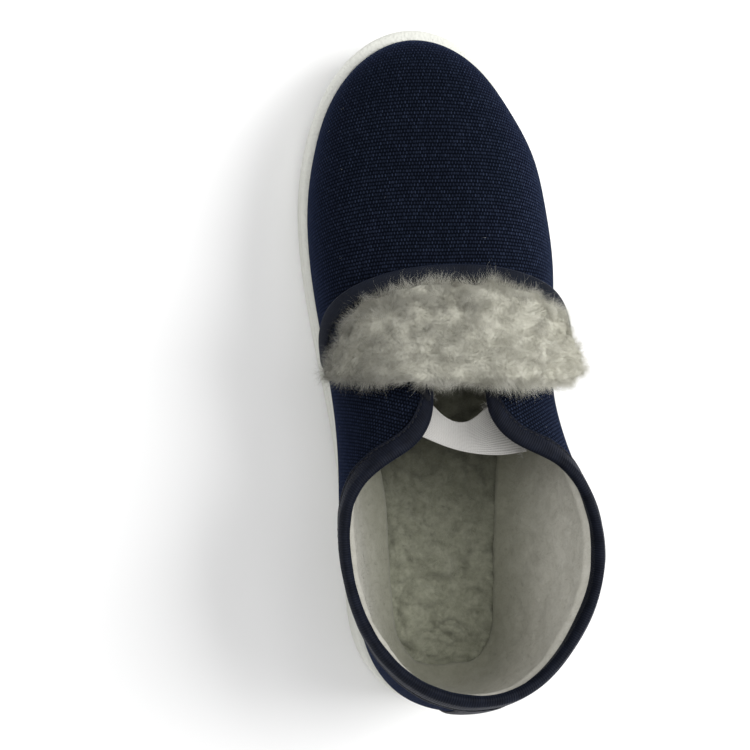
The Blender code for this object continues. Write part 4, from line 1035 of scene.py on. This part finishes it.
# Tongue pile. Long cream wool on the tongue's inner face, which the fold turns up.
# This is its dense foot, rolled over the fold; the locks stand on it.
PILE_INSET = 6.1 * MM
pile_base = tape_high
PILE_ROWS = 45
PILE_HALF = TONGUE_HALF - PILE_INSET
PILE_CROWN = 0.0046
PILE_SKIRT = 13
pile_rings = []
for across in tongue_columns(130, PILE_INSET):
    free, fold = tongue_free(across, PILE_INSET), tongue_root(across)
    fold += 0.0120 * max((across - 0.034) / (TONGUE_HALF - 0.034), 0.0) ** 2
    ragged = noise.noise(Vector((across / 0.009, 3.7, 0.0))) + 0.5 * noise.noise(Vector((across / 0.004, 8.1, 0.0)))
    free -= 0.0012 + 0.0016 * ragged + 0.016 * max((-across - 0.037) / 0.0145, 0.0)
    free = max(free, fold + 0.0015)
    end = 1 - abs(across) / PILE_HALF
    ends_round = math.sqrt(max(1 - (1 - min(end / 0.12, 1.0)) ** 2, 0.0))
    roll = 0.0024 * (0.45 + 0.55 * math.sin(math.pi / 2 * min(1.0, end / 0.35)))
    section = [(free + (fold - free) * j / 10, pile_base) for j in range(11)]
    for back, out in (
        (0.0003, TONGUE_REST),
        (roll * 0.55, TONGUE_REST),
        (roll * 0.95, TONGUE_REST + PILE_CROWN * 0.35),
        (roll, pile_base + PILE_CROWN * 0.35),
        (roll * 0.85, pile_base + PILE_CROWN * 0.6),
        (roll * 0.5, pile_base + PILE_CROWN * 0.85),
    ):
        section.append((fold - back, out))
    for j in range(PILE_ROWS):
        along = fold + (free - fold) * j / (PILE_ROWS - 1)
        rise = min(max(min(free - along, PILE_HALF - abs(across)) / 0.010, 0.0), 1.0)
        section.append((along, pile_base + 0.0016 + 0.0034 * math.sin(math.pi / 2 * rise) ** 0.8))
    full = 0.3 + 0.7 * ends_round
    ring = [lay_over(across, along, TONGUE_REST + (out - TONGUE_REST) * full) for along, out in section]
    pile_rings.append(ring + ring[:1])
pile_loft = closed_ends(pile_rings)
up_way = pile_loft - np.array([TONGUE_AXIS[0] + SHIFT[0], 0.0, TONGUE_AXIS[1]])
up_way[..., 1] = 0.0
up_way = unit(up_way)
facing = np.ones(pile_loft.shape[:2])
facing[:, :PILE_SKIRT] = facing[:, -1] = 0.0
pile_lump = fleece_rise(pile_loft, ((19 * MM, 5.0 * MM), (8 * MM, 1.9 * MM), (3 * MM, 0.5 * MM))) - 1.3 * MM
pile_loft = pile_loft + up_way * (pile_lump * facing)[..., None]
tongue_pile = wrap_grid("tongue_pile", pile_loft)
# Painted light and shade: the pile is painted darker towards -x and lighter towards +x, the side the light comes from.
PILE_SHADE = (0, (-0.050, 0.045), (0.62, 1.20))
pile_wool = fleece("tongue_wool", (0.31, 0.303, 0.248), (0.46, 0.452, 0.388), 0.0006, PILE_SHADE)
dress(tongue_pile, pile_wool, "tongue_pile", "tongue_fleece")

# Locks. Soft locks of the same cream wool stand on the pile. They lean outwards, hang
# over the tape and over the fold, and catch the light at their tips.
def fibre_shape(cuts):
    """One tapering fibre from z 0 to 1: corners and faces."""
    bpy.ops.object.select_all(action="DESELECT")
    bpy.ops.mesh.primitive_cone_add(vertices=3, radius1=1.0, radius2=0.0, depth=1.0)
    edit_all()
    bpy.ops.transform.translate(value=(0, 0, 0.5))
    for height in cuts:
        bpy.ops.mesh.select_all(action="SELECT")
        bpy.ops.mesh.bisect(plane_co=(0, 0, height), plane_no=(0, 0, 1))
    return taken_shape()


LONG_FIBRE = fibre_shape((0.3, 0.65))


def pick_roots(rng, grid, normals, weights, count):
    """Random points on the grid's quads, with their normals."""
    a, b, c = grid[:-1, :-1], grid[:-1, 1:], grid[1:, :-1]
    area = np.linalg.norm(np.cross(b - a, c - a), axis=-1) * weights[:-1, :-1]
    chosen = rng.choice(area.size, count, p=(area / area.sum()).ravel())
    i, j = np.unravel_index(chosen, area.shape)
    s, t = rng.random((2, count, 1))
    near = grid[i, j] * (1 - s) + grid[i, j + 1] * s
    far = grid[i + 1, j] * (1 - s) + grid[i + 1, j + 1] * s
    return near * (1 - t) + far * t, unit(normals[i, j])


def grid_normals(grid, towards):
    """Normals of a grid's corners, turned to the side that towards points to."""
    normal = unit(np.cross(np.gradient(grid, axis=0), np.gradient(grid, axis=1)))
    return normal * np.sign(np.sum(normal * towards, axis=-1, keepdims=True))


def grow(name, rng, roots, ways, lengths, radius, locks, pull, curl, fibre):
    """A piece of wool fibres. Each leans to the tip of its nearest lock, and curls."""
    corners, faces = fibre
    count = len(roots)
    lock = rng.choice(count, locks, replace=False)
    nearest = []
    for some in np.array_split(roots, 6):
        nearest.append(np.argmin(((some[:, None] - roots[lock][None]) ** 2).sum(-1), axis=1))
    tips = roots[lock] + ways[lock] * lengths[lock, None]
    bend = (tips[np.concatenate(nearest)] - (roots + ways * lengths[:, None])) * pull
    side = unit(np.cross(ways, rng.normal(size=(count, 3))))
    side, other = side[:, None], np.cross(ways, side)[:, None]
    x, y, t = (corners[None, :, i : i + 1] for i in range(3))
    phase = rng.uniform(0, 6.28, (count, 1, 1))
    turns = rng.uniform(3.0, 7.0, (count, 1, 1))
    sway = side * (np.sin(phase + turns * t) - np.sin(phase)) + other * np.cos(phase * 2 + turns * t) * 0.7
    line = roots[:, None] + ways[:, None] * lengths[:, None, None] * t + bend[:, None] * t**1.5 + curl * t * sway
    thick = radius * rng.uniform(0.7, 1.3, (count, 1, 1))
    return copies(name, line + (side * x + other * y) * thick, faces)


# The swirls come out the same at each run, because their noise has a fixed seed.
noise.seed_set(7)


def swirl_at(points, size):
    """A smooth random direction at each point."""
    return np.array([tuple(noise.noise_vector(Vector(point) / size)) for point in points])


def loose_wool(name, colour, dark, light, shade, sockets=None):
    """Wool of single fibres, cloudy in colour, under painted light and shade along one axis."""
    made, tree, shader = new_material(name, colour, 0.9, sockets)
    place = object_place(tree)
    tint = colour_ramp(tree, grain(tree, place, 160.0, 3.0), ((0.35, dark), (0.65, light)))
    show(tree, shader, shaded(tree, tint, place, *shade))
    return made


# The locks carry the pile's painted light and shade across x.
wool_fibre = loose_wool(
    "wool_fibre", (0.74, 0.73, 0.67), (0.45, 0.44, 0.375), (0.62, 0.61, 0.545), PILE_SHADE, {"Specular IOR Level": 0.1}
)
WOOL_FIBRES, WOOL_LOCKS = 12000, 520
WOOL_LONGEST = 10 * MM
pile_normal = unit(grid_normals(pile_loft, up_way) + up_way * 0.4)
pile_weight = np.zeros(pile_loft.shape[:2])
pile_weight[2:-2, PILE_SKIRT:-1] = 1.0
pile_weight[2:-2, PILE_SKIRT : PILE_SKIRT + 4] = 2.4
pile_weight[2:-2, -14:-1] = 2.0
pile_middle = np.array((1.5 * MM, 14 * MM, 0.0))
for number in (1, 2):
    rng = np.random.default_rng(20 + number)
    spot, normal = pick_roots(rng, pile_loft, pile_normal, pile_weight, WOOL_FIBRES)
    flat = (spot - pile_middle) / (54 * MM, 23 * MM, 1.0)
    flat[:, 2] = 0.0
    reach = np.clip(np.linalg.norm(flat, axis=1, keepdims=True), 0, 1.2)
    lean = swirl_at(spot, 10 * MM) * 1.3 + swirl_at(spot, 4 * MM) * 0.9
    out = unit(flat)
    out[:, 1] *= np.where(out[:, 1] < 0, 0.5, 1.0)
    out[:, 0] *= np.where(out[:, 0] < 0, 0.4, 0.7)
    way = unit(normal * (0.75 - 0.25 * reach**2) + out * reach**4 * 0.5 + lean + rng.normal(0, 0.4, spot.shape))
    length = rng.gamma(5.0, 0.80, len(spot)) * MM + 1.0 * MM
    length = np.minimum(length, WOOL_LONGEST) * np.where(rng.random(len(spot)) < 0.07, 1.2, 1.0)
    name = f"wool_locks_{number}"
    wool = grow(name, rng, spot, way, length, 0.042 * MM, WOOL_LOCKS, 0.3, 1.3 * MM, LONG_FIBRE)
    dress(wool, wool_fibre, "tongue_pile")

# Footbed fuzz. Short fibres of its own wool stand all over the footbed, finer than the
# locks.
SHORT_FIBRE = fibre_shape((0.5,))
FUZZ_FIBRES, FUZZ_LOCKS = 7000, 900


def fuzz(name, rng, grid, normals, weights, stand, swirl, size, lengths, radius, curl):
    """A piece of short fibres all over a grid."""
    spot, normal = pick_roots(rng, grid, normals, weights, FUZZ_FIBRES)
    way = unit(normal * stand + swirl_at(spot, size) * swirl + rng.normal(0, 0.3, spot.shape))
    lengths = rng.uniform(*lengths, len(spot)) * MM
    return grow(name, rng, spot, way, lengths, radius, FUZZ_LOCKS, 0.4, curl, SHORT_FIBRE)


bed_world = bed[3:] + SHIFT
bed_normal = grid_normals(bed_world, np.array((0.0, 0.0, 1.0)))
bed_weight = (bed_world[..., 1] < 20 * MM).astype(float)
rng = np.random.default_rng(31)
bed_fuzz = fuzz(
    "footbed_fuzz", rng, bed_world, bed_normal, bed_weight, 0.55, 1.6, 7 * MM, (1.4, 3.2), 0.04 * MM, 0.5 * MM
)
# The fibres carry the footbed's painted shade along y.
bed_fibre = loose_wool(
    "footbed_fibre", (0.36, 0.365, 0.29), (0.18, 0.184, 0.142), (0.29, 0.294, 0.236), BED_SHADE
)
dress(bed_fuzz, bed_fibre, "insole_fleece")

# Lining fuzz. The lining's fleece is shorn, so its fibres are shorter and finer still
# than those of the footbed.
lining_weight = ((lining_face[..., 1] < 0.0) & (from_rim > 4.4 * MM)).astype(float)
lining_weight[:3] = 0.0
lining_fuzz = fuzz(
    "lining_fuzz", rng, lining_face, -lining_normal, lining_weight, 0.5, 1.4, 9 * MM, (0.8, 2.0), 0.035 * MM, 0.3 * MM
)
dress(lining_fuzz, lining_wool, "canvas_upper")

# Frayed ends. Where the elastic is cut and sewn in, its white threads have worked loose
# and curl out beside the binding.
rng = np.random.default_rng(47)
ends, end_ways = [], []
for x, y, z in ((12.0, -18.6, 68.4), (25.5, -38.0, 68.6), (-8.6, -14.6, 68.2)):
    for _ in range(16):
        ends.append(np.array((x, y, z)) * MM + rng.normal(0, 0.5 * MM, 3))
        end_ways.append(rng.normal(0, 0.8, 3) + (-0.5, -0.1, 0.9))
ends, end_ways = np.array(ends), unit(np.array(end_ways))
thread_lengths = rng.uniform(1.2, 3.4, len(ends)) * MM
frayed_ends = grow("frayed_ends", rng, ends, end_ways, thread_lengths, 0.09 * MM, 12, 0.2, 0.9 * MM, LONG_FIBRE)
dress(frayed_ends, knit, "white_elastic")

# Canvas lint. A few single fibres have come off the wool. They lie loose and cling to
# the canvas.
LINT = 30
lint_weight = (canvas_out[..., 2] > 30 * MM).astype(float)
spot, normal = pick_roots(rng, canvas_out, canvas_outward, lint_weight, LINT)
way = unit(np.cross(normal, rng.normal(size=spot.shape)) + normal * 0.15)
lint_lengths = rng.uniform(0.6, 2.0, LINT) * MM
lint = grow("canvas_lint", rng, spot + normal * 0.1 * MM, way, lint_lengths, 0.035 * MM, 15, 0.0, 0.4 * MM, LONG_FIBRE)
dress(lint, wool_fibre, "canvas_upper")

# Camera, floor and light: the photo looks almost straight down on the shoe.
bpy.ops.object.select_all(action="DESELECT")
bpy.ops.mesh.primitive_plane_add(size=12.0)
floor = bpy.context.object
floor.name = "floor"
paper, tree, shader = new_material("white_floor", (0.93, 0.93, 0.93), 0.9)
floor.data.materials.append(paper)

CAMERA_ANGLES = (-76.046, 81.760, -1.596)
CAMERA_DISTANCE = 0.56575
FOCAL_PIXELS, PHOTO_PIXELS, FILM_WIDTH = 1386.3, 750, 36
azimuth, elevation, roll = (math.radians(angle) for angle in CAMERA_ANGLES)
target = Vector((-0.02725, -0.00461, 0.040))
back = Vector((math.sin(azimuth) * math.cos(elevation), -math.cos(azimuth) * math.cos(elevation), math.sin(elevation)))
right = Vector((0, 1, 0)).cross(back).normalized()
over = back.cross(right)
turned_right = right * math.cos(roll) + over * math.sin(roll)
turned_up = over * math.cos(roll) - right * math.sin(roll)
pose = Matrix((turned_right, turned_up, back)).transposed().to_4x4()
pose.translation = target + back * CAMERA_DISTANCE
camera = placed("camera", bpy.data.cameras.new("camera"))
camera.matrix_world = pose
camera.data.lens = FOCAL_PIXELS / PHOTO_PIXELS * FILM_WIDTH
camera.data.clip_start = 0.01
bpy.context.scene.camera = camera

for name, place, size, power in (
    ("soft_right", (0.80, 0.15, 0.95), 0.7, 12.5),
    ("soft_top", (-0.10, 0.30, 1.4), 0.9, 6.5),
    ("soft_heel", (-0.3, -1.0, 0.9), 0.8, 1.5),
):
    lamp = placed(name, bpy.data.lights.new(name, "AREA"))
    lamp.data.size = size
    lamp.data.energy = power
    lamp.location = place
    lamp.rotation_euler = (-Vector(place)).to_track_quat("-Z", "Y").to_euler()
world = bpy.data.worlds.new("studio")
world.use_nodes = True
backdrop = world.node_tree.nodes["Background"].inputs
backdrop["Color"].default_value = (1.0, 1.0, 1.0, 1.0)
backdrop["Strength"].default_value = 0.48
bpy.context.scene.world = world
bpy.context.scene.view_settings.view_transform = "Standard"
